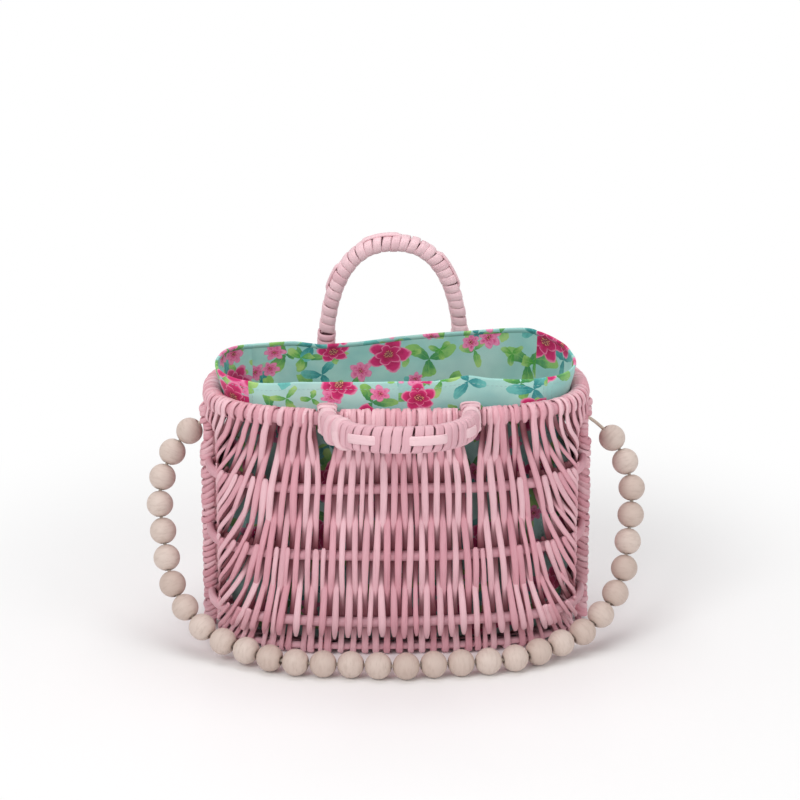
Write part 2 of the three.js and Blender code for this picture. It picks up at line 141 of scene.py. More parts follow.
# strap cord, with the route of its solid
strap = {
    "cordThickness": 2.5 * mm, "cordStations": 120,
    "rightHalf": [
        (0, -105, 10), (29.5, -101.5, 10), (81, -94.5, 10.3), (109.5, -79.5, 12), (139.5, -61, 19.5),
        (164, -39, 44), (172, -20.5, 78), (174.5, -5.5, 112.5), (163.5, 6.5, 139.5), (146, 9, 157),
        (142.9, 8, 159), (138, 8, 159), (132.4, 8, 159),
    ],
    "exit": (-0.1429, 0.008, 0.159), "length": 0.681,
    "beadCount": 32, "beadRadius": 9.85 * mm, "beadFacets": 26,
    "boreRadius": 2.6 * mm, "boreEdge": 0.5 * mm, "seed": 5,
    "knotPlace": (0.1297, 0.008, 0.159), "knotReach": 3.0 * mm, "knotStations": 72, "knotFacets": 8,
}


def makeCord(sizes):
    rightHalf = np.array(sizes["rightHalf"]) * mm
    leftHalf = rightHalf[:0:-1] * (-1, 1, 1)
    route = smoothRoute(np.vstack([leftHalf, rightHalf]), sizes["cordStations"])
    line = bpy.data.curves.new("strap_cord_line", "CURVE")
    line.dimensions, line.use_fill_caps = "3D", True
    line.bevel_depth, line.bevel_resolution = sizes["cordThickness"] / 2, 3
    spline = line.splines.new("POLY")
    spline.points.add(len(route) - 1)
    for point, place in zip(spline.points, route):
        point.co = (*place, 1)
    print("cord: length", round(runAlong(route)[-1], 4))
    return addObject("strap_cord_line", line), route


strapCord, strapRoute = makeCord(strap)


# node helpers

def pick(sockets, name):
    for socket in sockets:
        if name in (socket.name, socket.identifier) and socket.enabled and not socket.is_unavailable:
            return socket
    raise KeyError(f"no socket {name}")


class Wire:
    def __init__(self, bench, socket):
        self.bench, self.socket = bench, socket

    def other(self, name):
        return Wire(self.bench, pick(self.socket.node.outputs, name))

    def __add__(self, b):
        return self.bench.calc("ADD", self, b)

    def __radd__(self, b):
        return self.bench.calc("ADD", b, self)

    def __sub__(self, b):
        return self.bench.calc("SUBTRACT", self, b)

    def __rsub__(self, b):
        return self.bench.calc("SUBTRACT", b, self)

    def __mul__(self, b):
        return self.bench.calc("MULTIPLY", self, b)

    def __rmul__(self, b):
        return self.bench.calc("MULTIPLY", b, self)

    def __truediv__(self, b):
        return self.bench.calc("DIVIDE", self, b)

    def __pow__(self, b):
        return self.bench.calc("POWER", self, b)


class Bench:
    def __init__(self, tree):
        self.tree = tree

    def feed(self, node, values):
        for name, value in values.items():
            socket = node.inputs[name] if isinstance(name, int) else pick(node.inputs, name)
            if isinstance(value, Wire):
                self.tree.links.new(value.socket, socket)
            else:
                socket.default_value = value

    def node(self, kind, values=None, **settings):
        made = self.tree.nodes.new(kind)
        for key, setting in settings.items():
            setattr(made, key, setting)
        self.feed(made, values or {})
        shown = [s for s in made.outputs if s.enabled and not s.is_unavailable]
        return Wire(self, shown[0]) if shown else None

    def geo(self, kind, values=None, **settings):
        return self.node("GeometryNode" + kind, values, **settings)

    def calc(self, operation, *terms):
        return self.node("ShaderNodeMath", dict(enumerate(terms)), operation=operation)

    def vector(self, operation, *terms):
        return self.node("ShaderNodeVectorMath", dict(enumerate(terms)), operation=operation)

    def parts(self, vector):
        part = self.node("ShaderNodeSeparateXYZ", {"Vector": vector})
        return part, part.other("Y"), part.other("Z")

    def place(self, x, y, z):
        return self.node("ShaderNodeCombineXYZ", {"X": x, "Y": y, "Z": z})

    def rise(self, value, low, high):
        return self.node("ShaderNodeMapRange", {"Value": value, "From Min": low, "From Max": high},
                         interpolation_type="SMOOTHSTEP")

    def paint(self, mask, under, over, how="MIX"):
        return self.node("ShaderNodeMix", {"Factor": mask, "A": under, "B": over},
                         data_type="RGBA", blend_type=how, clamp_factor=True)

    def layer(self, under, value, low, high, strength, over):
        return self.paint(self.rise(value, low, high) * strength, under, over)

    def attribute(self, name, output="Fac"):
        return self.node("ShaderNodeAttribute", attribute_name=name).other(output)

    def objectPlace(self):
        return self.node("ShaderNodeTexCoord").other("Object")

    def noise(self, where, scale, detail=3.0, rough=0.55, output="Fac"):
        values = {"Vector": where, "Scale": scale, "Detail": detail, "Roughness": rough}
        return self.node("ShaderNodeTexNoise", values).other(output)

    def bump(self, strength, depth, height):
        return self.node("ShaderNodeBump", {"Strength": strength, "Distance": depth, "Height": height})

    def named(self, name, kind):
        return self.geo("InputNamedAttribute", {"Name": name}, data_type=kind)

    def keep(self, geometry, name, value, kind="FLOAT"):
        return self.geo("StoreNamedAttribute", {"Geometry": geometry, "Name": name, "Value": value},
                        data_type=kind, domain="POINT")

    def aim(self, axis, vector):
        return self.node("FunctionNodeAlignRotationToVector", {"Vector": vector}, axis=axis)


def newTree(name, **inputs):
    tree = bpy.data.node_groups.new(name, "GeometryNodeTree")
    tree.interface.new_socket("Geometry", in_out="OUTPUT", socket_type="NodeSocketGeometry")
    for socket, kind in {"Geometry": "Geometry", **inputs, "Material": "Material"}.items():
        tree.interface.new_socket(socket, in_out="INPUT", socket_type="NodeSocket" + kind)
    bench = Bench(tree)
    return bench, bench.node("NodeGroupInput")


def endTree(bench, given, geometry):
    geometry = bench.geo("RealizeInstances", {"Geometry": geometry})
    geometry = bench.geo("SetShadeSmooth", {"Geometry": geometry})
    geometry = bench.geo("SetMaterial", {"Geometry": geometry, "Material": given.other("Material")})
    bench.node("NodeGroupOutput", {"Geometry": geometry})
    return bench.tree


def tint(*screen):
    # a screen colour, 0 to 255, as the linear values that a shader takes
    def linear(c):
        return c / 12.92 if c <= 0.04045 else ((c + 0.055) / 1.055) ** 2.4
    return (*(linear(c / 255) for c in screen), 1.0)


def newFinish(name):
    finish = bpy.data.materials.new(name)
    finish.use_nodes = True
    return finish, Bench(finish.node_tree), finish.node_tree.nodes["Principled BSDF"]


# strand tree: every withy, rod and reed is an oval section swept along its own path

def makeStrandTree():
    bench, given = newTree("strandTree", Width="Float", Thickness="Float", Facets="Int", Squareness="Float")
    path = bench.geo("MeshToCurve", {"Mesh": given})
    path = bench.geo("SetCurveNormal", {"Curve": path, "Normal": bench.named("outward", "FLOAT_VECTOR")},
                     mode="FREE")
    path = bench.keep(path, "along", bench.geo("SplineParameter").other("Length"))
    section = bench.geo("CurvePrimitiveCircle", {"Resolution": given.other("Facets"), "Radius": 1.0})
    section = bench.keep(section, "around", bench.geo("SplineParameter").other("Factor"))
    x, y, _ = bench.parts(bench.geo("InputPosition"))

    def flatten(value, size):
        shape = bench.calc("POWER", bench.calc("ABSOLUTE", value), given.other("Squareness"))
        # turned round, so the seam lies inside
        return bench.calc("SIGN", value) * shape * given.other(size) * -0.5

    section = bench.geo("SetPosition", {
        "Geometry": section, "Position": bench.place(flatten(x, "Thickness"), flatten(y, "Width"), 0.0)})
    swept = bench.geo("CurveToMesh", {
        "Curve": path, "Profile Curve": section, "Scale": bench.named("breadth", "FLOAT"),
        "Fill Caps": True})
    return endTree(bench, given, swept)


strandTree = makeStrandTree()


def keepValues(mesh, name, values):
    values = np.asarray(values, np.float32)
    kind, field = ("FLOAT", "value") if values.ndim == 1 else ("FLOAT_VECTOR", "vector")
    mesh.attributes.new(name, kind, "POINT").data.foreach_set(field, values.ravel())


def strandPaths(name, strands):
    # a strand is (points, outward, breadth, tone, closed) and, for a withy, how much painted shade each point
    # takes inside the ribs
    edges, tables, start = [], [], 0
    for points, outward, breadth, tone, closed, *insideShade in strands:
        n = len(points)
        edges += [(start + k, start + k + 1) for k in range(n - 1)]
        if closed:
            edges.append((start + n - 1, start))
        start += n
        tables.append(np.column_stack([points, outward, np.broadcast_to(breadth, n), np.full(n, tone),
                                       insideShade[0] if insideShade else np.zeros(n)]))
    table = np.vstack(tables)
    mesh = bpy.data.meshes.new(name)
    mesh.from_pydata(table[:, :3].tolist(), edges, [])
    keepValues(mesh, "outward", table[:, 3:6])
    for column, key in enumerate(("breadth", "tone", "insideShade"), 6):
        keepValues(mesh, key, table[:, column])
    return mesh


def closeShell(shell, mesh):
    bmesh.ops.recalc_face_normals(shell, faces=shell.faces)
    shell.to_mesh(mesh)
    shell.free()
    return mesh


def grow(name, source, tree, sizes):
    # runs a tree on a source mesh and keeps the result as a plain mesh
    seedling = addObject(name + "_seed", source)
    modifier = seedling.modifiers.new("grow", "NODES")
    modifier.node_group = tree
    for item in tree.interface.items_tree:
        if item.in_out == "INPUT" and item.name in sizes:
            modifier[item.identifier] = sizes[item.name]
    graph = bpy.context.evaluated_depsgraph_get()
    mesh = bpy.data.meshes.new_from_object(seedling.evaluated_get(graph), preserve_all_data_layers=True,
                                           depsgraph=graph)
    seedling.modifiers.remove(modifier)
    bpy.data.objects.remove(seedling)
    shell = bmesh.new()
    shell.from_mesh(mesh)
    closeShell(shell, mesh).name = name
    print(name + ":", len(mesh.polygons), "faces")
    return addObject(name, mesh)


def growStrands(name, strands, width, thickness, facets, finish, squareness=1.0):
    # width and thickness are in millimetres
    return grow(name, strandPaths(name + "_paths", strands), strandTree, {
        "Width": width * mm, "Thickness": thickness * mm, "Facets": facets, "Squareness": squareness,
        "Material": finish})


def settle(piece, body, slotName, *nodes):
    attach(piece, body)
    if nodes:
        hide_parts(*nodes)
    return piece


# finishes
# one of these tints is painted shade, for the withies where they pass inside the ribs
wickerTints = {
    "base": tint(219, 158, 170), "deep": tint(172, 100, 116), "pale": tint(237, 194, 202),
    "bare": tint(196, 152, 128), "insideShade": tint(128, 50, 62), "grainRun": 22.0,
}
rodTints = {**wickerTints, "base": tint(206, 148, 160), "pale": tint(224, 176, 186)}
reedTints = {**wickerTints, "base": tint(222, 174, 184), "deep": tint(190, 128, 142),
             "pale": tint(238, 202, 208), "grainRun": 12.0}


def paintedWillow(name, tints, paleness, roughness):
    # thin paint over willow: streaks run along each strand, and the paint is rubbed pale on a few
    finish, bench, shader = newFinish(name)
    along, around, tone = (bench.attribute(k) for k in ("along", "around", "tone"))
    turn = around * wholeTurn
    ring = bench.place(along * tints["grainRun"], bench.calc("COSINE", turn) + tone * 37.0,
                       bench.calc("SINE", turn) + tone * 11.0)
    streak = bench.noise(ring, 2.6, 4.0)
    fine = bench.noise(bench.place(along * 60.0, around * 26.0, tone * 91.0), 1.0, 3.0)
    blotch = bench.noise(bench.place(along * 14.0, tone * 53.0, 0.0), 1.0, 2.0)
    speck = bench.noise(bench.place(along * 190.0, around * 9.0, tone * 17.0), 1.0, 1.0)
    colour = bench.paint(bench.rise(tone, 0.0, 1.0), tints["base"], tints["pale"])
    colour = bench.layer(colour, streak, 0.52, 0.78, 0.4, tints["deep"])
    colour = bench.layer(colour, blotch, 0.45, 0.75, 0.3, tints["deep"])
    colour = bench.layer(colour, fine, 0.5, 0.8, paleness, tints["pale"])
    colour = bench.layer(colour, speck, 0.74, 0.8, 0.35, tints["bare"])
    # painted shade: inside the ribs, where shade falls between the strands, the withies are painted darker
    colour = bench.paint(bench.attribute("insideShade") * 0.75, colour, tints["insideShade"])
    bench.feed(shader, {
        "Base Color": colour, "Roughness": roughness + fine * 0.14 - streak * 0.08,
        "Normal": bench.bump(0.35, 0.0006, fine * 0.5 + streak * 0.5), "Specular IOR Level": 0.38})
    return finish


wickerFinish = paintedWillow("paintedWicker", wickerTints, 0.35, 0.5)
rodFinish = paintedWillow("paintedRod", rodTints, 0.25, 0.5)
reedFinish = paintedWillow("paintedReed", reedTints, 0.3, 0.46)


# the basket's plan, as lengths along the wall from the front middle, in millimetres
plan = {
    "wallHalfLength": 138.0, "rimHalfLength": 134.5, "halfDepth": 68.5, "power": 2.8,
    "rimHeight": 186.0, "rimNeck": 15.0, "lowerRib": 29.5, "middleRib": 81.0, "upperRib": 132.5,
    "rimRod": 5.0, "rib": 3.0, "post": 2.5, "baseHoop": 2.5, "baseHoopIn": 7.7, "baseHoopHeight": 6.8,
    "postTop": 180.7, "eyeX": 51.0, "eyeDepth": 66.845,
}
rimHeight = plan["rimHeight"]


def quarterTable(halfLength):
    # a quarter of the plan: share of its length, x, y and the outward direction, then the length
    power, halfDepth = plan["power"], plan["halfDepth"]
    t = np.linspace(0, math.pi / 2, 3001)
    x = halfLength * np.sin(t) ** (2 / power)
    y = -halfDepth * np.maximum(np.cos(t), 0) ** (2 / power)
    y[-1] = 0
    run = np.concatenate([[0], np.cumsum(np.hypot(np.diff(x), np.diff(y)))])
    nx = (x / halfLength) ** (power - 1) / halfLength
    ny = -(-y / halfDepth) ** (power - 1) / halfDepth
    size = np.hypot(nx, ny)
    return run / run[-1], x, y, nx / size, ny / size, run[-1]


wallTable = quarterTable(plan["wallHalfLength"])
rimTable = quarterTable(plan["rimHalfLength"])
quarter = wallTable[5]


def wallPlace(s, offset, z, side=1):
    # s along the wall, offset outwards, z up; side -1 is the back half
    s, offset, z = np.broadcast_arrays(*(np.asarray(v, float) for v in (s, offset, z)))
    share = np.abs(s) / quarter
    past = share > 1
    share = np.where(past, 2 - share, share)
    neck = smoothStep(z - rimHeight, -plan["rimNeck"], 0)

    def column(k):
        wall, rim = (np.interp(share, table[0], table[k]) for table in (wallTable, rimTable))
        return wall + (rim - wall) * neck

    x, y, nx, ny = (column(k) for k in (1, 2, 3, 4))
    flipX, flipY = np.where(s < 0, -1.0, 1.0), np.where(past, -1.0, 1.0) * side
    out = np.stack([nx * flipX, ny * flipY, np.zeros_like(nx)], -1)
    place = np.stack([x * flipX, y * flipY, z], -1) + out * offset[..., None]
    return place * mm, out


# withies
weave = {
    "pitch": 3.7, "endPitch": 3.1, "closerFrom": 85, "closerOver": 60, "topReach": 160.0,
    "width": 4.5, "thickness": 2.6, "stations": 56, "facets": 8, "squareness": 0.82, "seed": 11,
    "eyeDrop": 2.0, "eyeClear": 9.9, "eyeSpread": 19.0, "crowdOver": 52,      # beside a handle eye
    "rimDrop": 11.5, "fanDrop": 13.0, "fanStep": 0.5,
    # how far a withy runs sideways for each millimetre down, by its place along the wall
    "fanPlaces": (0, 35, 70, 93, 110, 125, 140, 160, 185),
    "fanSlopes": (0, 0.03, 0.08, 0.15, 0.36, 0.65, 1.0, 1.8, 2.6),
    "widestGap": 9.6, "usualGap": 6.6,          # between neighbours on one face, before more are added
    "endClose": 0.3, "closeFrom": 75, "closeOver": 25,          # gaps are narrower towards the ends
    "footLoose": 1.5, "footLooseTo": 110,       # and wider at the lower rib, up to this place
    "insideFrom": 80,                           # from here on withies are added inside too
    "letIn": 7,                                 # how far above its rib an added withy starts
    "outerTurn": (210, 180, 135, 90, 45, 0, -32), "innerTurn": (-72, -35, 0, 45, 90, 135, 180, 212),
    "footTurn": [(-4.3, 20), (-3.9, 13), (-3.7, 8), (-4.4, 5.0), (-6.4, 3.0), (-9.5, 2.4), (-15, 2.4)],
    # turns and binding on an end post
    "postNear": 5, "postGap": 1.3, "postTurn": (-25, 20, 65, 110, 155),
    "lowestTurn": 6.5, "lowestWrap": 7.0, "diveFrom": 46, "diveOver": 24,
    "bindFoot": 7.6, "bindRadius": 5.7, "bindPitch": 4.8, "bindLean": 3.4,
    "bindBare": (-12.0, 7.0),                   # left bare for the strap, from its cord's level
    "thinShare": 0.16, "thinSizes": (0.7, 0.82), "usualSizes": (0.9, 1.15), "rimSlim": 0.12, "endSlim": 0.2,
    "topTaper": (0.6, 0.88, 0.98), "footTaper": (1.06, 1.04, 0.98, 0.84, 0.5),
}
withySwing = plan["rib"] + weave["thickness"] / 2 + 0.1
rimTurn = plan["rimRod"] + weave["thickness"] / 2
levels = [rimHeight - weave["rimDrop"], plan["upperRib"], plan["middleRib"], plan["lowerRib"]]
eyePlace = float(np.interp(plan["eyeX"], rimTable[1], rimTable[0])) * quarter


def fanSlope(s):
    return math.copysign(float(np.interp(abs(s), weave["fanPlaces"], weave["fanSlopes"])), s)


def startPlaces(rng):
    # along the rim, closer together towards the ends; the two sets take turns
    half, s = [], 0.0
    while s < weave["topReach"]:
        half.append(s)
        share = ramp(s - weave["closerFrom"], weave["closerOver"])
        s += weave["pitch"] + (weave["endPitch"] - weave["pitch"]) * share
    places = [(-s, k) for k, s in enumerate(half) if k] + [(s, k) for k, s in enumerate(half)]
    return [(s + rng.uniform(-0.4, 0.4), k) for s, k in sorted(places)]


def newWithy(s, start, face, sTop=None):
    # face is 1 where it starts outside the hoop of its first level; the fan is walked down from there
    z = rimHeight if start == 0 else levels[start] + weave["letIn"]
    zs, ss = [rimHeight + 12, z], [s, s]
    while z > 0 and abs(s) < quarter + 8:
        if z < rimHeight - weave["fanDrop"]:
            s += fanSlope(s) * weave["fanStep"]
        z -= weave["fanStep"]
        zs.append(z)
        ss.append(s)
    zs, ss = np.array(zs[::-1]), np.array(ss[::-1])
    hit = None                  # the height at which it comes to an end post
    if abs(ss[0]) > quarter - weave["postNear"]:
        hit = float(np.interp(quarter - weave["postNear"], np.abs(ss[::-1]), zs[::-1]))
    return {"s": ss[-1], "sTop": ss[-1] if sTop is None else sTop, "start": start, "face": face,
            "zs": zs, "ss": ss, "hit": hit, "wrap": hit}


def faceAt(withy, level):
    return withy["face"] * (-1) ** (level - withy["start"])


def eyeWarp(s):
    # the withies beside a handle eye are crowded apart at the rim
    drop, spread, clear = weave["eyeDrop"], weave["eyeSpread"], weave["eyeClear"]
    for eye in (-eyePlace, eyePlace):
        d = s - eye
        if abs(d) < drop:
            return None
        if abs(d) < spread:
            share = (abs(d) - drop) / (spread - drop)
            return eye + math.copysign(clear + share * (spread - clear), d)
    return s


def planWithies(rng):
    withies = []
    for s, k in startPlaces(rng):
        sTop = eyeWarp(s)
        if sTop is not None:
            withies.append(newWithy(s, 0, -1 if k % 2 else 1, sTop))
    # where the fan opens, more withies are let in at the next rib down, inside only near the ends
    for level, face in ((1, 1), (1, -1), (2, 1), (2, -1), (3, 1), (3, -1)):
        z = levels[level]
        there = [float(np.interp(z, w["zs"], w["ss"])) for w in withies
                 if faceAt(w, level) == face and (w["hit"] is None or w["hit"] < z)]
        there = sorted(there + [4 - quarter, quarter - 4])
        for s0, s1 in zip(there, there[1:]):
            middle = (s0 + s1) / 2
            gap = (s1 - s0) / math.hypot(1, fanSlope(middle))
            close = 1 - weave["endClose"] * ramp(abs(middle) - weave["closeFrom"], weave["closeOver"])
            loose = 1 if level < 3 or abs(middle) > weave["footLooseTo"] else weave["footLoose"]
            widest = weave["widestGap"] * close * loose
            wanted = gap > widest and (face > 0 or abs(middle) > weave["insideFrom"])
            count = int(gap / (weave["usualGap"] * close) - 0.4) if wanted else 0
            for j in range(count):
                s = s0 + (s1 - s0) * (j + 1) / (count + 1) + rng.uniform(-0.6, 0.6)
                withies.append(newWithy(s - fanSlope(s) * weave["letIn"], level, face))
    return [w for w in withies if w["hit"] is None or w["hit"] > weave["lowestTurn"]]


def spaceTurns(halves):
    # the withies of both halves share the end posts, each turn a little clear of the next
    for sign in (-1, 1):
        turning = sorted((w for half in halves for w in half if w["hit"] is not None and w["s"] * sign > 0),
                         key=lambda w: -w["hit"])
        for above, withy in zip(turning, turning[1:]):
            withy["wrap"] = min(withy["wrap"], above["wrap"] - weave["postGap"])
        lowest = weave["lowestWrap"]
        for withy in reversed(turning):
            withy["wrap"] = min(max(withy["wrap"], lowest), withy["hit"] + 1)
            lowest = withy["wrap"] + weave["postGap"]


def crossing(o0, z0, o1, z1, steps=7):
    return [(o0 + (o1 - o0) * (1 - math.cos(math.pi * k / steps)) / 2, z0 + (z1 - z0) * k / steps)
            for k in range(1, steps + 1)]


def withyStops(withy, rng):
    # offset and height down the wall
    start, face, hit = withy["start"], withy["face"], withy["hit"]
    if start == 0:
        angles = np.radians(weave["outerTurn"] if face > 0 else weave["innerTurn"])
        stops = [(rimTurn * math.cos(a), rimHeight + rimTurn * math.sin(a)) for a in angles]
        stops.append((face * (withySwing + 0.5), levels[0]))
    else:
        top = levels[start]
        stops = [(face * (withySwing + 0.6), top + rng.uniform(5.5, 8)),
                 (face * (withySwing + 0.4), top + 3.5), (face * withySwing, top)]
    for level in range(start, 3):
        o = faceAt(withy, level) * withySwing
        if hit is not None and levels[level + 1] < hit + 4:
            # keeps to one side until it reaches the end post
            return stops + [(o, z) for z in np.arange(levels[level] - 6, hit - 8, -6.0)]
        stops += crossing(o, levels[level], -o, levels[level + 1])
    if hit is not None:
        return stops + [(faceAt(withy, 3) * withySwing, z) for z in np.arange(levels[3] - 5, 4, -5.0)]
    if faceAt(withy, 3) < 0:
        return stops + weave["footTurn"]
    drop = rng.uniform(-1.6, 1.4)
    return stops + [(4.4, levels[3] - 4), (4.0, levels[3] - 7.5), (3.0, levels[3] - 11 + drop)]


def shapeWithy(withy, side, rng):
    stops = withyStops(withy, rng)
    hit, added = withy["hit"] is not None, withy["start"] > 0
    sign = 1 if withy["s"] >= 0 else -1
    wander, phase = rng.uniform(0.3, 0.9), rng.uniform(0, 6)
    slant = rng.uniform(0.4, 1.4) * withy["face"]
    crowded = withy["sTop"] - withy["s"]
    path = []
    for o, z in stops:
        crowd = crowded * (1 - smoothStep(rimHeight - z, 0, weave["crowdOver"]))
        s = float(np.interp(z, withy["zs"], withy["ss"])) + crowd + wander * math.sin(z * 0.05 + phase)
        if z > rimHeight - 9:
            s += slant * (o / 6)
        if hit and abs(s) > quarter - 8:
            break
        if hit:
            # dives in before it reaches the end post
            near = ramp(abs(s) - quarter + weave["diveFrom"], weave["diveOver"])
            near = ease(near * ramp(rimHeight - 8 - z, 14))
            o = o + (-withySwing - o) * near
            z = z + (withy["wrap"] - withy["hit"]) * near
        path.append((s, o, z))
    if hit:
        # turns round the end post from the inside and ends under the binding
        turn = plan["post"] + weave["thickness"] / 2
        for angle in weave["postTurn"]:
            bend = math.radians(angle)
            path.append((sign * (quarter + turn * math.sin(bend)), -turn * math.cos(bend),
                         withy["wrap"] - angle / 120))
    line = smoothRoute(path, weave["stations"])
    s, o, z = line.T
    points, outward = wallPlace(s, o, z, side)
    if not added:
        # outward is away from the rim rod at the rim
        lift = np.maximum(ramp(z - rimHeight + 6, 4), ramp(8 - np.arange(len(line)), 4))[:, None]
        roll = np.arctan2(z - rimHeight, o)[:, None]
        aroundRim = outward * np.cos(roll) + upward * np.sin(roll)
        outward = unit(outward * (1 - lift) + aroundRim * lift)
    if hit:
        # and away from the post at the post
        away = (points - np.array([sign * plan["wallHalfLength"] * mm, 0, 0])) * (1, 1, 0)
        clear = ramp(quarter - np.abs(s), 5)[:, None]
        outward = outward * clear + unit(away) * (1 - clear)
    thin = rng.random() < weave["thinShare"]
    size = rng.uniform(*weave["thinSizes" if thin else "usualSizes"])
    belly = 0.95 + 0.1 * np.abs(o) / 4.4
    slim = 1 - weave["rimSlim"] * ramp(z - levels[0], 7)         # drawn tight round the rim rod
    squeeze = 1 - 0.3 * min(abs(crowded) / 6, 1) * ramp(z - levels[0] + 15, 15)
    breadth = size * belly * slim * squeeze * (1 - 0.05 * np.sin(z * 0.11 + phase))
    taper = np.ones(len(line))
    if added or withy["face"] < 0:
        taper[:3] = weave["topTaper"]
    if not hit and stops[-1][0] > 0:
        taper[-5:] = weave["footTaper"]
    breadth = breadth * taper * (1 - weave["endSlim"] * ramp(np.abs(s) - 95, 35))
    # painted shade for the parts that pass inside the ribs, above the foot
    insideShade = ramp(-1.0 - o, 3) * ramp(rimHeight - 4 - z, 8) * ramp(z - plan["lowerRib"] + 10, 10)
    return points, squared(points, outward), breadth, rng.random(), False, insideShade


def ringOn(centre, radius, axisU, axisV, size, tone, lean=0.0):
    angle = roundAngles(18)[:, None]
    out = np.cos(angle) * axisU + np.sin(angle) * axisV
    points = centre + out * radius + np.cos(angle) * np.array([0, 0, lean])
    return points, squared(points, out, True), size, tone, True


def rimTurns(side, rng):
    # plain turns on the rim where the withies stop short of the ends
    strands, s = [], weave["topReach"] + 2.5
    while s < quarter + 0.1:
        for sign in (-1, 1):
            centre, out = wallPlace(sign * s, 0, rimHeight, side)
            strands.append(ringOn(centre, rimTurn * mm, out, upward, rng.uniform(0.84, 0.98), rng.random()))
        s += weave["endPitch"] * 1.1
    return strands


def postBinding(rng):
    # the end posts are bound over the turns of the withies, but not where the strap's first bead swings
    strands = []
    bareFrom, bareTo = weave["bindBare"]
    for sign in (-1, 1):
        z = weave["bindFoot"]
        while z < plan["postTop"] - 3:
            if not bareFrom < z - strap["exit"][2] / mm < bareTo:
                centre = np.array([sign * plan["wallHalfLength"], 0, z]) * mm
                radius = (weave["bindRadius"] + rng.uniform(-0.5, 0.3)) * mm
                lean = -sign * (weave["bindLean"] + rng.uniform(-1.3, 1.3)) * mm
                strands.append(ringOn(centre, radius, np.array([1.0, 0, 0]), np.array([0, 1.0, 0]),
                                      rng.uniform(0.78, 1.08), rng.random(), lean))
            z += weave["bindPitch"] + rng.uniform(-0.9, 0.9)
    return strands


withyRng = random.Random(weave["seed"])
halves = {side: planWithies(withyRng) for side in (1, -1)}
spaceTurns(list(halves.values()))
for side, name in ((1, "front"), (-1, "back")):
    strands = [shapeWithy(withy, side, withyRng) for withy in halves[side]] + rimTurns(side, withyRng)
    if side > 0:
        strands += postBinding(withyRng)
    withies = growStrands(name + "_withies", strands, weave["width"], weave["thickness"], weave["facets"],
                          wickerFinish, weave["squareness"])
    settle(withies, "basket", "wicker", name + "_weave")


# rods: ribs, posts and hoops
rods = {"facets": 14, "wave": 0.35, "ribHeight": 1.3, "ribEnd": 3.2, "postFoot": 0.4, "seed": 23}


def ribStrand(z, side, rng):
    s = np.linspace(-quarter + rods["ribEnd"], quarter - rods["ribEnd"], 120)
    sway = rods["wave"] * np.sin(s * 0.045 + rng.uniform(0, 6))
    points, out = wallPlace(s, 0.0, z + sway, side)
    return points, squared(points, out), 1.0, rng.random(), False


def hoopStrand(offset, z, rng):
    s = np.linspace(0, 4 * quarter, 320, endpoint=False)
    points, out = wallPlace(np.where(s > 2 * quarter, s - 4 * quarter, s), offset, z)
    return points, squared(points, out, True), 1.0, rng.random(), True


def postStrand(sign, rng):
    z = np.linspace(rods["postFoot"], plan["postTop"], 24)
    points = np.stack([np.full_like(z, sign * plan["wallHalfLength"]), np.zeros_like(z), z], 1) * mm
    return points, squared(points, np.array([sign * 1.0, 0, 0])), 1.0, rng.random(), False


def addRods(name, strands, radius, nodes, taller=1.0):
    made = growStrands(name, strands, 2 * radius * taller, 2 * radius, rods["facets"], rodFinish)
    settle(made, "basket", "rod", *nodes)


rodRng = random.Random(rods["seed"])
for level in ("lower", "middle", "upper"):
    pair = [ribStrand(plan[level + "Rib"], side, rodRng) for side in (1, -1)]
    addRods(level + "_ribs", pair, plan["rib"], [f"front_{level}_rib", f"back_{level}_rib"],
            rods["ribHeight"])
addRods("end_posts", [postStrand(sign, rodRng) for sign in (-1, 1)], plan["post"],
        ["left_end_post", "right_end_post"])
addRods("foot_hoop", [hoopStrand(-plan["baseHoopIn"], plan["baseHoopHeight"], rodRng)], plan["baseHoop"],
        ["base_hoop"])
addRods("rim_rod", [hoopStrand(0.0, rimHeight, rodRng)], plan["rimRod"], ["rim_hoop"])


# woven base
baseWeave = {
    "inset": 13.0, "weaverPitch": 6.2, "weaverWidth": 5.6, "shortestWeaver": 20, "weaverStations": 110,
    "wander": 0.4, "stakePitch": 13.0, "shortestStake": 12, "stakeStations": 60,
    "thickness": 1.7, "height": 2.05, "swing": 0.85, "facets": 8, "squareness": 0.8, "seed": 31,
}


def makeBase(sizes):
    rng = random.Random(sizes["seed"])
    halfX, halfY = plan["wallHalfLength"] - sizes["inset"], plan["halfDepth"] - sizes["inset"]
    power, strands = plan["power"], []

    def lay(pitch, crossPitch, half, other, shortest, stations, swing, wander, order):
        rows = int(other / pitch)
        for row in range(-rows, rows + 1):
            t = row * pitch
            reach = half * max(1 - (abs(t) / other) ** power, 0) ** (1 / power)
            if reach < shortest:
                continue
            run = np.linspace(-reach, reach, stations)
            z = sizes["height"] + swing * np.cos(math.pi * (run / crossPitch + row))
            points = np.stack([run, t + wander * np.sin(run * 0.06 + row), z], 1)[:, order] * mm
            strands.append((points, squared(points, -upward), rng.uniform(0.9, 1.05), rng.random(), False))

    # weavers along the base, then the stakes across it
    lay(sizes["weaverPitch"], sizes["stakePitch"], halfX, halfY, sizes["shortestWeaver"],
        sizes["weaverStations"], sizes["swing"], sizes["wander"], [0, 1, 2])
    lay(sizes["stakePitch"], sizes["weaverPitch"], halfY, halfX, sizes["shortestStake"],
        sizes["stakeStations"], -sizes["swing"], 0.0, [1, 0, 2])
    return strands


base = growStrands("woven_base", makeBase(baseWeave), baseWeave["weaverWidth"], baseWeave["thickness"],
                   baseWeave["facets"], wickerFinish, baseWeave["squareness"])
settle(base, "basket", "wicker", "base_weave")


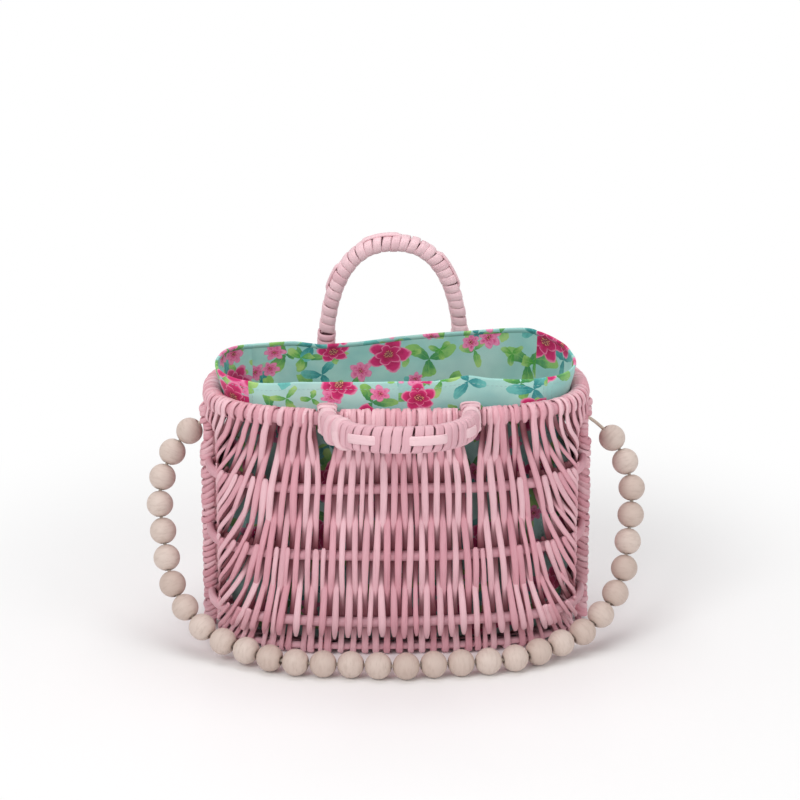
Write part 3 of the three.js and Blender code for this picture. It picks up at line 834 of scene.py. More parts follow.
# handles, in their own plane: x across, h up from the rim rod, d out of the plane
handle = {
    "halfSpacing": 51.0, "rise": {"front": 96.0, "back": 92.2}, "power": 2.4, "fold": 80.0, "seed": 41,
    "turns": 29, "stepsPerTurn": 20, "start": 24.0, "wander": 0.6, "wobble": 0.18, "facets": 10,
    "halfAcross": 5.0, "halfDeep": 8.4, "sectionPower": 3.0, "ringPower": 2.6,
    "reedWidth": 6.6, "reedThickness": 2.1, "reedSquareness": 0.7, "stripWidth": 6.8, "stripSwing": 1.55,
    # stretches of strip that show: the turn in the middle of each, and the turns from there to its end
    "stripShows": {"front": [(10.4, 1.5), (16.9, 1.8), (23.3, 1.4)],
                   "back": [(6.3, 1.6), (13.2, 2.1), (21.8, 2.2)]},
    # the band round the rim rod: its legs as d and h from the top down, and its turn in degrees
    "bandLegs": [(4.4, 19), (6.6, 10.5)], "bandTurn": (-198, 18), "bandStations": 80, "bandBreadth": 1.5,
    "eyeRadius": 8.5, "eyeHalfWidth": 6.4, "eyeHalfThick": 2.1, "eyePitch": 6.3, "eyeTurns": 3,
    # turns over a foot: how far up the arch, how much they tilt and how broad they are
    "slimFoot": [(12.0, 1.2, 0.64), (16.8, 1.2, 0.64), (21.6, 0.8, 0.66)],
    "fatTurns": [(52.0, 2.4, 1.3), (69.0, -1.8, 1.34)],       # on the left bend of the front handle
    "footWidth": 7.2, "footThickness": 3.4, "footSquareness": 0.85, "footOver": (0.9, 0.7),
}


def archLine(count, rise):
    t = np.linspace(0, math.pi, 2001)
    c, s = np.cos(t), np.maximum(np.sin(t), 0)
    x = -handle["halfSpacing"] * np.sign(c) * np.abs(c) ** (2 / handle["power"])
    line = np.stack([x, rise * s ** (2 / handle["power"])], 1)
    run = runAlong(line)
    return sample(line, run, np.linspace(0, run[-1], count)), run[-1]


def handlePlace(local, which):
    # local is x, h, d, with d towards the front; the front handle is folded down to the front
    x, h, d = local.T
    if which == "back":
        return np.stack([x, plan["eyeDepth"] - d, rimHeight + h], 1) * mm
    fold = math.radians(handle["fold"])
    y = -plan["eyeDepth"] - h * math.sin(fold) - d * math.cos(fold)
    z = rimHeight + h * math.cos(fold) - d * math.sin(fold)
    return np.stack([x, y, z], 1) * mm


def sectionAt(angle, across, deep, power):
    c, s = np.cos(angle), np.sin(angle)
    return across * np.sign(c) * np.abs(c) ** (2 / power), deep * np.sign(s) * np.abs(s) ** (2 / power)


def makeHandle(which, seed):
    rng = random.Random(seed)
    line, length = archLine(1801, handle["rise"][which])
    along = tangents(line)
    out = np.stack([-along[:, 1], along[:, 0]], 1)       # away from the middle of the arch
    share = np.linspace(0, 1, len(line))
    first, last = handle["start"] / length, 1 - handle["start"] / length
    turns, halfAcross, halfDeep = handle["turns"], handle["halfAcross"], handle["halfDeep"]
    reeds, feet = [], []

    def onArch(at):
        return sample(line, share, at), unit(sample(out, share, at))

    def strand(local, localOut, breadth, closed=False):
        points, tips = handlePlace(local, which), handlePlace(local + localOut * 2, which)
        return points, squared(points, unit(tips - points), closed), breadth, rng.random(), closed

    # the winding
    u = np.linspace(first, last, turns * handle["stepsPerTurn"] + 1)
    wander = np.interp(np.arange(len(u)) / handle["stepsPerTurn"], np.arange(turns + 1),
                       [rng.uniform(-handle["wander"], handle["wander"]) for _ in range(turns + 1)])
    centre, away = onArch(np.clip(u + wander / length, first, last))
    angle = -0.6 - np.linspace(0, wholeTurn * turns, len(u))
    across, deep = sectionAt(angle, halfAcross, halfDeep, handle["sectionPower"])
    wobble = handle["wobble"] * np.sin(angle / 2.0 + seed)
    local = np.column_stack([centre + away * (across + wobble * np.sign(across))[:, None], deep])
    localOut = np.column_stack([away * (np.cos(angle) / halfAcross)[:, None], np.sin(angle) / halfDeep])
    reeds.append(strand(local, unit(localOut), 1.0))

    # the flat strip along the outside, over a few turns and under the next few
    u = np.linspace(first - 0.004, last + 0.004, 260)
    centre, away = onArch(u)
    turn = (u - first) / (last - first) * turns
    wave = np.max([np.clip((half - np.abs(turn - at)) * 2.5, -1, 1)
                   for at, half in handle["stripShows"][which]], 0)
    height = halfAcross + handle["stripSwing"] * wave
    local = np.column_stack([centre + away * height[:, None], np.zeros(len(u))])
    reeds.append(strand(local, np.column_stack([away, np.zeros(len(u))]),
                        handle["stripWidth"] / handle["reedWidth"]))

    legs, sideways = np.array(handle["bandLegs"]), np.array([1.0, 0, 0])
    for sign in (-1, 1):
        # a band goes round the rim rod at each foot, wound with short turns of reed
        turn = np.radians(np.linspace(*handle["bandTurn"], 24))
        arc = handle["eyeRadius"] * np.stack([np.cos(turn), np.sin(turn)], 1)
        d, h = np.vstack([legs * (-1, 1), arc, legs[::-1]]).T
        band = smoothRoute(np.stack([np.full(len(d), sign * handle["halfSpacing"]), h, d], 1),
                           handle["bandStations"])
        along = tangents(band)
        outwards = np.stack([np.zeros(len(band)), along[:, 2], -along[:, 1]], 1)
        outwards = outwards * np.sign((outwards[:, 1:] * band[:, 1:]).sum(1))[:, None]
        reeds.append(strand(band, outwards, handle["bandBreadth"]))
        run = runAlong(band)
        angle = roundAngles(22)
        for step in range(-handle["eyeTurns"], handle["eyeTurns"] + 1):
            at = run[-1] * 0.5 + step * handle["eyePitch"]
            k = int(np.argmin(np.abs(run - at - rng.uniform(-0.5, 0.5))))
            halfWidth = handle["eyeHalfWidth"] + rng.uniform(-0.3, 0.3)
            thick, wide = sectionAt(angle, handle["eyeHalfThick"], halfWidth, handle["ringPower"])
            ring = band[k] + outwards[k] * thick[:, None] + sideways * wide[:, None]
            ring = ring + along[k] * (rng.uniform(0.5, 1.4) * sign * np.sin(angle))[:, None]
            ringOut = outwards[k] * np.cos(angle)[:, None] + sideways * np.sin(angle)[:, None] * 0.4
            reeds.append(strand(ring, unit(ringOut), rng.uniform(0.74, 0.84), True))
        # crossed turns over the foot, where the winding starts
        fat = handle["fatTurns"] if which == "front" and sign < 0 else []
        angle = roundAngles(26)
        overAcross, overDeep = handle["footOver"]
        across, deep = sectionAt(angle, halfAcross + overAcross, halfDeep + overDeep, handle["ringPower"])
        for at, tilt, breadth in handle["slimFoot"] + fat:
            k = int((at / length if sign < 0 else 1 - at / length) * len(line))
            step = unit(line[k + 5] - line[k - 5])
            place = line[k] + out[k] * across[:, None] + step * (sign * tilt * np.sin(angle))[:, None]
            ringOut = np.column_stack([out[k] * np.cos(angle)[:, None], np.sin(angle)])
            feet.append(strand(np.column_stack([place, deep]), unit(ringOut), breadth, True))
    return reeds, feet


for which, seed in (("front", handle["seed"]), ("back", handle["seed"] + 1)):
    reeds, feet = makeHandle(which, seed)
    reeds = growStrands(which + "_handle_reeds", reeds, handle["reedWidth"], handle["reedThickness"],
                        handle["facets"], reedFinish, handle["reedSquareness"])
    settle(reeds, which + "_handle", "reed", which + "_handle_core", which + "_handle_wrap")
    feet = growStrands(which + "_handle_feet", feet, handle["footWidth"], handle["footThickness"],
                       handle["facets"], reedFinish, handle["footSquareness"])
    settle(feet, which + "_handle", "reed")


# beads
def beadFinish():
    finish, bench, shader = newFinish("paleBeadWood")
    tone = bench.attribute("tone")
    x, y, z = bench.parts(bench.attribute("rest", "Vector"))
    along = bench.place(x * 900.0 + tone * 50.0, y * 260.0 + tone * 23.0, z * 260.0 + tone * 71.0)
    grain = bench.noise(along, 0.55, 4.0)
    pore = bench.noise(bench.place(x * 3000.0, y * 500.0 + tone * 9.0, z * 500.0), 0.6, 2.0)
    colour = bench.paint(tone, tint(198, 178, 167), tint(214, 197, 187))
    colour = bench.layer(colour, grain, 0.45, 0.72, 0.3, tint(172, 148, 134))
    colour = bench.layer(colour, pore, 0.62, 0.75, 0.22, tint(152, 126, 112))
    bench.feed(shader, {"Base Color": colour, "Roughness": 0.42 + grain * 0.2,
                        "Normal": bench.bump(0.2, 0.0004, grain + pore * 0.5)})
    return finish


def cordFinish():
    finish, bench, shader = newFinish("twistedCotton")
    where = bench.objectPlace()
    twist = bench.node("ShaderNodeTexWave", {"Vector": where, "Scale": 420.0, "Distortion": 1.0},
                       wave_type="BANDS", bands_direction="DIAGONAL").other("Fac")
    fluff = bench.noise(where, 2600.0, 2.0)
    colour = bench.paint(twist * 0.6 + fluff * 0.3, tint(196, 178, 160), tint(232, 220, 206))
    bench.feed(shader, {"Base Color": colour, "Roughness": 0.75 + fluff * 0.2,
                        "Normal": bench.bump(0.5, 0.0004, twist)})
    return finish


def beadShape(sizes):
    # turned profile: rounded bore edge, full round outside, closed by the bore wall
    radius, bore, around = sizes["beadRadius"], sizes["boreRadius"], sizes["beadFacets"]
    edge = math.asin(bore * 1.12 / radius)
    boreEnd = radius * math.cos(edge) - sizes["boreEdge"]
    profile = [(bore, -radius * 0.5), (bore, -boreEnd)]
    outside = np.linspace(edge, math.pi - edge, 17)
    profile += [(radius * math.sin(a), -radius * math.cos(a)) for a in outside]
    profile += [(bore, boreEnd), (bore, radius * 0.5)]
    shell = bmesh.new()
    turns = [wholeTurn * k / around for k in range(around)]
    rings = [[shell.verts.new((x, r * math.cos(a), r * math.sin(a))) for a in turns] for r, x in profile]
    for near, far in zip(rings, rings[1:] + rings[:1]):
        for k in range(around):
            shell.faces.new((near[k], near[(k + 1) % around], far[(k + 1) % around], far[k]))
    return closeShell(shell, bpy.data.meshes.new("beadShape"))


def makeBeadTree():
    bench, given = newTree("beadTree", Bead="Object", Seed="Int")
    bead = bench.geo("ObjectInfo", {"Object": given.other("Bead")}).other("Geometry")
    bead = bench.keep(bead, "rest", bench.geo("InputPosition"), "FLOAT_VECTOR")
    aim = bench.aim("X", bench.named("axis", "FLOAT_VECTOR"))
    spin = bench.node("FunctionNodeRandomValue", {"Min": -3.1, "Max": 3.1, "Seed": given.other("Seed")},
                      data_type="FLOAT")
    turn = bench.node("FunctionNodeAxisAngleToRotation", {"Axis": (1.0, 0.0, 0.0), "Angle": spin})
    aim = bench.node("FunctionNodeRotateRotation", {"Rotation": aim, "Rotate By": turn},
                     rotation_space="LOCAL")
    placed = bench.geo("InstanceOnPoints", {"Points": given, "Instance": bead, "Rotation": aim})
    return endTree(bench, given, placed)


def makeBeads(sizes):
    rng = random.Random(sizes["seed"])
    nodes = [f"bead_{k:02d}" for k in range(1, sizes["beadCount"] + 1)]
    centres = np.array([sum((Vector(c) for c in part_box(n)), Vector()) / 2 for n in nodes])
    source = bpy.data.meshes.new("bead_places")
    source.from_pydata(centres.tolist(), [], [])
    nearest = [int(np.argmin(np.linalg.norm(strapRoute - c, axis=1))) for c in centres]
    keepValues(source, "axis", tangents(strapRoute)[nearest])
    keepValues(source, "tone", [rng.random() for _ in nodes])
    pattern = bpy.data.objects.new("beadPattern", beadShape(sizes))
    beads = grow("strap_beads", source, makeBeadTree(),
                 {"Bead": pattern, "Seed": sizes["seed"], "Material": beadFinish()})
    bpy.data.objects.remove(pattern)
    return settle(beads, "bead_strap", "bead", *nodes)


def makeKnots(sizes, finish):
    made, thickness = [], sizes["cordThickness"] / mm
    t = roundAngles(sizes["knotStations"])
    knot = np.stack([0.3 * np.sin(3 * t), (np.sin(t) + 1.6 * np.sin(2 * t)) / 2.3,
                     (np.cos(t) - 1.6 * np.cos(2 * t)) / 2.3], 1) * sizes["knotReach"]
    for sign, name in ((-1, "left"), (1, "right")):
        points = knot + np.array(sizes["knotPlace"]) * (sign, 1, 1)
        strand = (points, squared(points, unit(knot), True), 1.0, 0.5, True)
        piece = growStrands(f"stopper_knot_{name}", [strand], thickness, thickness, sizes["knotFacets"], finish)
        made.append(settle(piece, "bead_strap", "cord", f"strap_knot_{name}"))
    return made


cottonCord = cordFinish()
strapBeads = makeBeads(strap)
strapKnots = makeKnots(strap, cottonCord)
strapCord.data.materials.append(cottonCord)
settle(strapCord, "bead_strap", "cord", "strap_cord")


# liner
liner = {
    "inset": 13.4, "foot": 4.9, "footRounding": 18.0, "standUp": 26.0, "cloth": 1.0, "seamX": 104.0,
    "hem": 2.6, "hemGap": 1.2, "hemRound": 0.8, "around": 360, "rows": 64, "floorRows": 8, "hemRows": 6,
    # Ends are places along x, Foot is a height, and Rise and Fall are drops from the rim
    "press": 4.4, "pressEnds": (70, 95), "pressRise": (40, 4),
    "belly": 6.5, "bellyEnds": (80, 110), "bellyFoot": (16, 50), "bellyFall": (54, 36),
    "ripple": 0.6, "rippleFoot": 12, "rippleOver": 40, "creaseWidth": 1.6, "creaseDepth": 0.8, "seed": 53,
    "panelShift": (137.0, 61.0),        # the print starts afresh on each panel
    "stitchDrop": 5.0, "stitchPitch": 3.4 * mm, "stitchLength": 2.3 * mm, "thread": 0.38 * mm,
    # the top edge: x and y of a place on it, how far it leans out there and how far it is lifted
    "edge": [
        (0, -54, 0.8, -3.2), (27, -54, 0.6, -3), (50, -54, 0, 0.4), (65, -54, 0.8, -2.4),
        (88, -52, 1.5, -4.8), (112, -42, 6.5, -5), (122, -20, 9, -4.5), (122, 0, 10.5, -3),
        (118, 26, 7.5, -0.5), (104, 46, 6, 4.5), (97, 50, 4.5, 4.5), (58, 54, 0, 1.2), (4, 54, 0.2, -4),
        (-31, 54, -0.5, -8), (-55, 54, -0.5, -9.2), (-75, 53, 2, -6), (-97, 50, 3.5, -5.3),
        (-116, 29, 6, -3), (-121, 0, 11, -2.5), (-120, -14, 10.3, -4), (-111, -41, 7, -5.5),
        (-100, -49, 5, -6.5), (-87, -52, 3, -5.5), (-72, -53, 1, -4), (-46, -54, 0, -3.8),
    ],
}
linerTop = rimHeight + liner["standUp"]


def makePrint(name, paintedShade):
    # painted shade: the last argument darkens the cloth below the rim, where it lies in shade close behind the
    # weave
    finish, bench, shader = newFinish(name)
    height = bench.parts(bench.objectPlace())[2] / mm - rimHeight
    uv = bench.node("ShaderNodeUVMap", uv_map="print")
    # brush strokes wander a little, so no outline is exact
    drift = bench.vector("SUBTRACT", bench.noise(uv, 70.0, 3.0, 0.6, "Color"), (0.5, 0.5, 0.5))
    drift = bench.node("ShaderNodeVectorMath", {0: drift, "Scale": 0.0065}, operation="SCALE")
    brushed = bench.vector("ADD", uv, drift)

    def cells(where, scale, **values):
        return bench.node("ShaderNodeTexVoronoi", {"Vector": where, "Scale": scale, **values},
                          voronoi_dimensions="2D")

    def scatter(scale, offset, jitter, often):
        # the nearest plant: vector, angle and distance from its centre, its growth, and whether it is there
        moved = bench.vector("ADD", brushed, offset)
        cell = cells(moved, scale, Randomness=jitter)
        gap = bench.vector("SUBTRACT", moved, cell.other("Position"))
        chance = bench.node("ShaderNodeSeparateColor", {"Color": cell.other("Color")})
        x, y, _ = bench.parts(gap)
        angle = bench.calc("ARCTAN2", y, x) + chance * 6.28
        radius = bench.vector("LENGTH", gap).other("Value")
        present = bench.rise(chance.other("Green"), often, often + 0.02)
        return gap, angle, radius, chance.other("Blue"), present

    def lobed(angle, count):
        return bench.calc("ABSOLUTE", bench.calc("COSINE", angle * (count / 2)))

    def inside(radius, edge, soft=0.0004):
        return 1.0 - bench.rise(radius - edge, -soft, soft)

    wash = bench.noise(uv, 26.0, 3.0)
    pigment = bench.noise(uv, 210.0, 4.0, 0.7)
    colour = bench.paint(bench.rise(wash, 0.35, 0.7), tint(148, 204, 198), tint(176, 222, 212))
    colour = bench.layer(colour, bench.noise(uv, 9.0, 2.0), 0.5, 0.7, 0.4, tint(200, 222, 216))

    def leafLayer(colour, scale, offset, size, dark, light, often):
        _, angle, radius, growth, present = scatter(scale, offset, 0.85, often)
        edge = size * (lobed(angle, 3) ** 2.6) * (0.7 + 0.45 * growth)
        shade = bench.paint(bench.rise(radius / size + (pigment - 0.5) * 0.9, 0.15, 0.85), dark, light)
        vein = 1.0 - bench.rise(bench.calc("ABSOLUTE", bench.calc("SINE", angle * 1.5)), 0.02, 0.12)
        shade = bench.paint(vein * 0.45, shade, light)
        return bench.paint(inside(radius, edge) * present * (0.78 + 0.3 * wash), colour, shade)

    def blossomLayer(colour, scale, offset, size, count, heart, outer, tip, often):
        gap, angle, radius, growth, present = scatter(scale, offset, 0.8, often)
        grown = size * (0.72 + 0.38 * growth)
        # two rings of petals, the inner one turned between the outer ones
        for turn, reach, deeper in ((0.0, 1.0, 0.0), (math.pi / count, 0.62, 0.35)):
            petals = lobed(angle + turn, count)
            edge = grown * reach * (0.62 + 0.38 * petals)
            share = radius / edge
            shade = bench.paint(bench.rise(share + (pigment - 0.5) * 0.8, 0.2, 0.95), heart, outer)
            shade = bench.paint(deeper * wash, shade, heart)
            shade = bench.layer(shade, share, 0.84, 0.97, 0.75, tip)
            crease = 1.0 - bench.rise(petals, 0.04, 0.26)
            shade = bench.paint(crease * bench.rise(share, 0.1, 0.5) * 0.55, shade, heart)
            colour = bench.paint(inside(radius, edge) * present, colour, shade)
        eye = inside(radius, grown * 0.17, 0.0006)
        colour = bench.paint(eye * present * 0.85, colour, tint(112, 22, 66))
        pollen = (1.0 - bench.rise(cells(gap, 900.0), 0.2, 0.4)) * inside(radius, grown * 0.22)
        return bench.paint(pollen * present * 0.8, colour, tint(232, 180, 128))

    colour = leafLayer(colour, 27.0, (0.31, 0.07, 0), 0.021, tint(44, 136, 62), tint(140, 196, 92), 0.3)
    colour = leafLayer(colour, 24.0, (0.13, 0.23, 0), 0.019, tint(20, 132, 134), tint(100, 188, 180), 0.25)
    colour = leafLayer(colour, 38.0, (0.57, 0.41, 0), 0.0125, tint(72, 160, 62), tint(166, 208, 116), 0.35)
    colour = blossomLayer(colour, 36.0, (0.21, 0.63, 0), 0.0082, 6, tint(208, 28, 112), tint(242, 150, 190),
                          tint(232, 104, 160), 0.45)
    colour = blossomLayer(colour, 22.0, (0.77, 0.29, 0), 0.0158, 5, tint(160, 2, 66), tint(216, 42, 116),
                          tint(242, 152, 188), 0.24)

    # twill: fine diagonal ribs, with yarn that varies a little
    u, v, _ = bench.parts(uv)
    ribs = bench.calc("SINE", (u + v * 0.8) * (wholeTurn / 0.0011))
    yarn = bench.noise(bench.place(u * 900.0, v * 2600.0, 0.0), 1.0, 2.0)
    colour = bench.paint(bench.rise(ribs, -0.2, 1.0) * 0.1, colour, tint(255, 255, 255), "SOFT_LIGHT")
    colour = bench.layer(colour, yarn, 0.5, 0.8, 0.14, tint(120, 130, 130))
    # painted shade below the rim
    colour = bench.paint((1.0 - bench.rise(height, -14.0, -3.0)) * paintedShade, colour, tint(48, 22, 28))
    bench.feed(shader, {"Base Color": colour, "Roughness": 0.78 + yarn * 0.14,
                        "Normal": bench.bump(0.3, 0.0003, ribs * 0.3 + yarn), "Sheen Weight": 0.12})
    return finish


def linerPlan(share, inset):
    # a closed plan, from the front middle round to the right
    s = share * 4 * quarter
    place, out = wallPlace(np.where(s > 2 * quarter, s - 4 * quarter, s), -inset, rimHeight)
    return place / mm, out


def seamIndices(ring, seamX):
    found = []
    for sx in (-1, 1):
        for sy in (-1, 1):
            gap = np.abs(ring[:, 0] - sx * seamX) + np.where(ring[:, 1] * sy > 0, 0, 1e6)
            found.append(int(np.argmin(gap)))
    return sorted(found)


def linerForm(sizes):
    # the round of the liner and what pulls at each place on it
    rng = np.random.default_rng(sizes["seed"])
    share = np.arange(sizes["around"]) / sizes["around"]
    ring, out = linerPlan(share, sizes["inset"])
    waves = (2, 3, 5, 7, 9, 12, 15, 19)
    phases = rng.uniform(0, wholeTurn, len(waves))
    drape = sum(np.sin(share * wholeTurn * f + p) / math.sqrt(f) for f, p in zip(waves, phases))
    seams = seamIndices(ring, sizes["seamX"])
    seamGap = np.min([np.hypot(*(ring[:, :2] - ring[k, :2]).T) for k in seams], 0)
    tugs = np.array(sorted((share[np.argmin(np.hypot(ring[:, 0] - x, ring[:, 1] - y))], lean, lift)
                           for x, y, lean, lift in sizes["edge"]))
    soften = np.array([1, 2, 3, 2, 1]) / 9

    def eased(column):
        values = np.interp(share, tugs[:, 0], column, period=1)
        return np.convolve(np.concatenate([values[-2:], values, values[:2]]), soften, "valid")

    endward = np.abs(ring[:, 0])
    return {"ring": ring, "out": out, "drape": drape, "seams": seams,
            "crease": np.exp(-(seamGap / sizes["creaseWidth"]) ** 2),
            "lean": eased(tugs[:, 1]), "lift": eased(tugs[:, 2]),
            "press": sizes["press"] * smoothStep(endward, *sizes["pressEnds"]),
            "belly": sizes["belly"] * smoothStep(endward, *sizes["bellyEnds"])}


def linerRow(sizes, form, side, z):
    # one level of the wall, moved inwards by side; the ends press on the rim, and the top leans and slumps
    def below(drops):
        return smoothStep(z, *(rimHeight - drop for drop in drops))

    loose = 0.35 + 0.65 * ramp(z - rimHeight + 27, 53)
    ripple = sizes["ripple"] * form["drape"] * loose * ramp(z - sizes["rippleFoot"], sizes["rippleOver"])
    shift = -side + ripple - sizes["creaseDepth"] * form["crease"]
    leaning = smoothStep(z, rimHeight - 4, linerTop + 4)
    shift = shift + form["press"] * below(sizes["pressRise"]) + (form["lean"] - form["press"]) * leaning
    shift = shift + form["belly"] * smoothStep(z, *sizes["bellyFoot"]) * (1 - below(sizes["bellyFall"]))
    row = form["ring"] + form["out"] * shift[:, None]
    row[:, 2] = z + form["lift"] * smoothStep(z, rimHeight - 6, linerTop)
    return row


def linerRows(sizes):
    # kind, sideways place and height of each row, from the bottom up, over the hem and down inside
    foot, rounding, gap, hemRows = sizes["foot"], sizes["footRounding"], sizes["hemGap"], sizes["hemRows"]
    fold = linerTop - sizes["hemRound"]
    rows = [("floor", k / sizes["floorRows"], foot) for k in range(1, sizes["floorRows"])]
    for k in range(5):
        a = math.radians(90 * k / 4)
        rows.append(("wall", rounding * (1 - math.sin(a)), foot + rounding * (1 - math.cos(a))))
    bottom = foot + rounding
    for k in range(1, sizes["rows"] + 1):
        rows.append(("wall", 0.0, bottom + (fold - bottom) * k / sizes["rows"]))
    for k in range(1, 6):
        a = math.radians(180 * k / 6)
        rows.append(("hem", gap / 2 * (1 - math.cos(a)), fold + sizes["hemRound"] * math.sin(a)))
    for k in range(hemRows + 1):
        side = gap - (gap - sizes["cloth"] / 4) * (k / hemRows) ** 2
        rows.append(("hem", side, fold - sizes["hem"] * k / hemRows))
    return rows


def makeLiner(sizes, form, finishes):
    n, ring = sizes["around"], form["ring"]
    run = np.concatenate([[0], np.cumsum(np.linalg.norm(np.roll(ring, -1, 0) - ring, axis=1))])
    rows = linerRows(sizes)
    places, heights = [], []
    for kind, side, z in rows:
        if kind == "floor":
            place = (ring - form["out"] * sizes["footRounding"]) * side
            place[:, 2] = z
        else:
            place = linerRow(sizes, form, side, z)
        places.append(place)
        heights.append({"floor": z - 6, "wall": z, "hem": 2 * linerTop - z}[kind])

    faces, uvs, total = [], [], len(rows)
    panel = np.cumsum(np.isin(np.arange(n), form["seams"]))
    for r in range(total - 1):
        for k in range(n):
            j = (k + 1) % n
            faces.append((r * n + k, r * n + j, (r + 1) * n + j, (r + 1) * n + k))
            if rows[r + 1][0] == "floor":
                corners = [places[r][k], places[r][j], places[r + 1][j], places[r + 1][k]]
            else:
                shiftU, shiftV = (shift * panel[k] for shift in sizes["panelShift"])
                u0, u1 = run[k] + shiftU, run[k + 1] + shiftU
                low, high = heights[r] + shiftV, heights[r + 1] + shiftV
                corners = [(u0, low), (u1, low), (u1, high), (u0, high)]
            uvs += [c * mm for corner in corners for c in corner[:2]]
    middle = total * n
    for k in range(n):
        j = (k + 1) % n
        faces.append((middle, j, k))
        uvs += [0, 0, *(places[0][j, :2] * mm), *(places[0][k, :2] * mm)]
    mesh = bpy.data.meshes.new("cloth_liner")
    mesh.from_pydata((np.vstack([*places, [[0, 0, sizes["foot"]]]]) * mm).tolist(), [], faces)
    mesh.uv_layers.new(name="print").data.foreach_set("uv", np.array(uvs, np.float32))
    mesh.polygons.foreach_set("use_smooth", np.ones(len(mesh.polygons), bool))
    for finish in finishes:
        mesh.materials.append(finish)
    piece = addObject("cloth_liner", mesh)
    area = sum(p.area for p in mesh.polygons)
    # the hem's raw edge thins out on the wall
    hemRows = sizes["hemRows"]
    body = piece.vertex_groups.new(name="fullCloth")
    body.add([*range((total - hemRows) * n), middle], 1.0, "REPLACE")
    for k in range(1, hemRows + 1):
        row = total - hemRows - 1 + k
        body.add([*range(row * n, (row + 1) * n)], 1 - (k / hemRows) ** 2 * 0.95, "REPLACE")
    thick = piece.modifiers.new("cloth", "SOLIDIFY")
    thick.thickness, thick.offset, thick.vertex_group = sizes["cloth"] * mm, 0.0, "fullCloth"
    # the outside finish carries painted shade below the rim, the inside finish none
    thick.material_offset = 1          # the inside has its own finish
    print("liner: cloth area", round(area, 4), "round the top", round(run[-1] * mm, 4))
    return piece, area, run[-1] * mm


def makeStitchTree():
    bench, given = newTree("stitchTree", Pitch="Float", Length="Float", Thread="Float")
    path = bench.geo("MeshToCurve", {"Mesh": given})
    spots = bench.geo("CurveToPoints", {"Curve": path, "Length": given.other("Pitch")}, mode="LENGTH")
    aim = bench.aim("Z", spots.other("Tangent"))
    stitch = bench.geo("MeshUVSphere", {"Segments": 6, "Rings": 5, "Radius": 0.5})
    size = bench.place(given.other("Thread"), given.other("Thread"), given.other("Length"))
    sewn = bench.geo("InstanceOnPoints",
                     {"Points": spots, "Instance": stitch, "Rotation": aim, "Scale": size})
    return endTree(bench, given, sewn)


def threadFinish():
    finish, bench, shader = newFinish("sewingThread")
    fluff = bench.noise(bench.objectPlace(), 1800.0, 2.0)
    bench.feed(shader, {"Base Color": bench.paint(fluff, tint(128, 172, 172), tint(176, 206, 202)),
                        "Roughness": 0.6 + fluff * 0.25})
    return finish


def makeStitches(sizes, form):
    # one row round the hem, on the outside, and one on each side of a corner seam
    onFace = -sizes["cloth"] / 2 - 0.05
    n, hemLevel = sizes["around"], linerTop - sizes["stitchDrop"]
    points, edges = [linerRow(sizes, form, onFace, hemLevel)], [(k, (k + 1) % n) for k in range(n)]
    heights = np.linspace(20, hemLevel - 3, 60)
    wall = np.stack([linerRow(sizes, form, onFace, z) for z in heights])
    for seam in form["seams"]:
        for beside in (-2, 2):
            start = sum(len(p) for p in points)
            points.append(wall[:, (seam + beside) % n])
            edges += [(start + k, start + k + 1) for k in range(len(heights) - 1)]
    source = bpy.data.meshes.new("liner_stitch_paths")
    source.from_pydata((np.vstack(points) * mm).tolist(), edges, [])
    return grow("liner_stitches", source, makeStitchTree(), {
        "Pitch": sizes["stitchPitch"], "Length": sizes["stitchLength"], "Thread": sizes["thread"],
        "Material": threadFinish()})


form = linerForm(liner)
# the outside print has painted shade below the rim, the inside print has none
prints = [makePrint("floralOutsideShaded", 0.5), makePrint("floralInside", 0.0)]
linerCloth, linerArea, linerRound = makeLiner(liner, form, prints)
settle(linerCloth, "basket", "liner", "liner_front", "liner_back", "liner_left", "liner_right", "liner_base")
linerStitches = settle(makeStitches(liner, form), "basket", "liner")


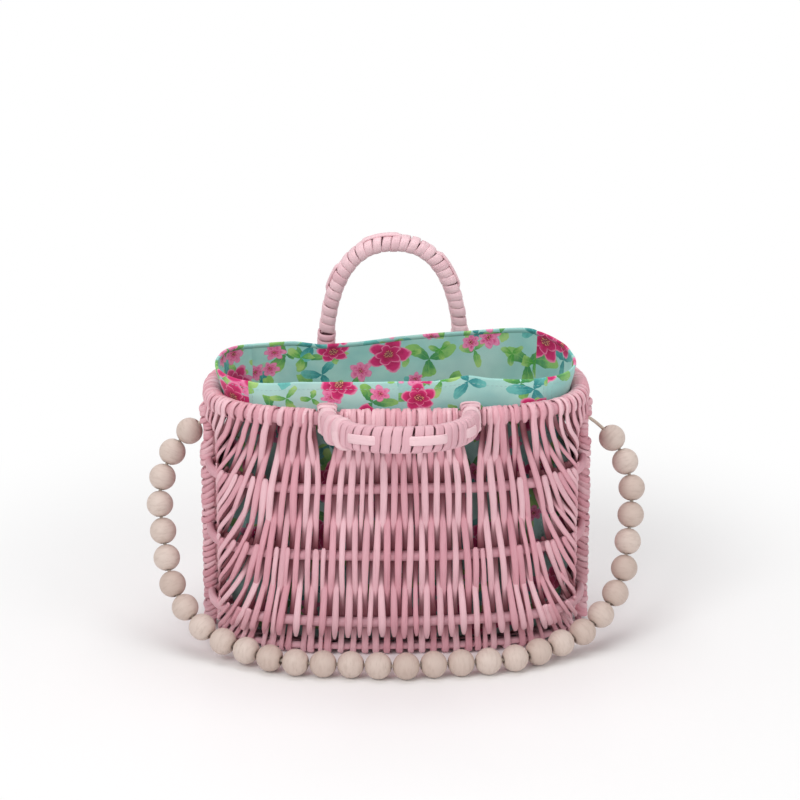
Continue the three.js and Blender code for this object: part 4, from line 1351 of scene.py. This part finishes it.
# floor, light and background
studio = {
    "floor": (0.93, 0.92, 0.92, 1.0), "floorPale": (0.95, 0.95, 0.95, 1.0), "floorHalf": 12.0,
    "clearFrom": 0.2, "clearTo": 0.5, "ambient": 0.39, "aim": (0, 0, 0.1),
    # name, place, width, height and power of each light
    "panels": [("keyPanel", (-1.1, -1.5, 1.5), 1.2, 1.0, 20.8),
               ("fillPanel", (1.4, -1.3, 0.9), 1.2, 1.2, 9.0),
               ("topPanel", (0.0, 0.3, 1.9), 1.6, 1.2, 15.0)],
}


def seenByCamera(bench):
    rays = bench.node("ShaderNodeLightPath")
    mirrored = bench.calc("MAXIMUM", rays.other("Is Glossy Ray"), rays.other("Is Transmission Ray"))
    return bench.calc("MAXIMUM", rays.other("Is Camera Ray"), mirrored)


def makeStudio(sizes):
    shell = bmesh.new()
    bmesh.ops.create_grid(shell, x_segments=2, y_segments=2, size=sizes["floorHalf"])
    mesh = bpy.data.meshes.new("floor")
    shell.to_mesh(mesh)
    shell.free()
    floor = addObject("floor", mesh)
    finish, bench, shader = newFinish("paleFloor")
    where = bench.objectPlace()
    colour = bench.paint(bench.noise(where, 3.0, 2.0), sizes["floor"], sizes["floorPale"])
    bench.feed(shader, {"Base Color": colour, "Roughness": 0.8, "Specular IOR Level": 0.1})
    # away from the object the floor is plain white to the camera
    away = bench.vector("LENGTH", where).other("Value")
    glow = bench.node("ShaderNodeEmission", {"Color": (1, 1, 1, 1), "Strength": 1.0})
    white = bench.node("ShaderNodeMixShader", {
        "Fac": seenByCamera(bench) * bench.rise(away, sizes["clearFrom"], sizes["clearTo"]),
        1: Wire(bench, shader.outputs["BSDF"]), 2: glow})
    bench.feed(bench.tree.nodes["Material Output"], {"Surface": white})
    mesh.materials.append(finish)

    scene.world = bpy.data.worlds.new("studioWorld")
    scene.world.use_nodes = True
    bench = Bench(scene.world.node_tree)
    strength = sizes["ambient"] + seenByCamera(bench) * (1 - sizes["ambient"])
    bench.feed(bench.tree.nodes["Background"], {"Color": (1, 1, 1, 1), "Strength": strength})

    for name, place, width, height, power in sizes["panels"]:
        lamp = bpy.data.lights.new(name, "AREA")
        lamp.shape, lamp.size, lamp.size_y, lamp.energy = "RECTANGLE", width, height, power
        panel = addObject(name, lamp)
        panel.location = place
        panel.rotation_euler = (Vector(sizes["aim"]) - Vector(place)).to_track_quat("-Z", "Y").to_euler()


makeStudio(studio)
scene.view_settings.view_transform = "Standard"
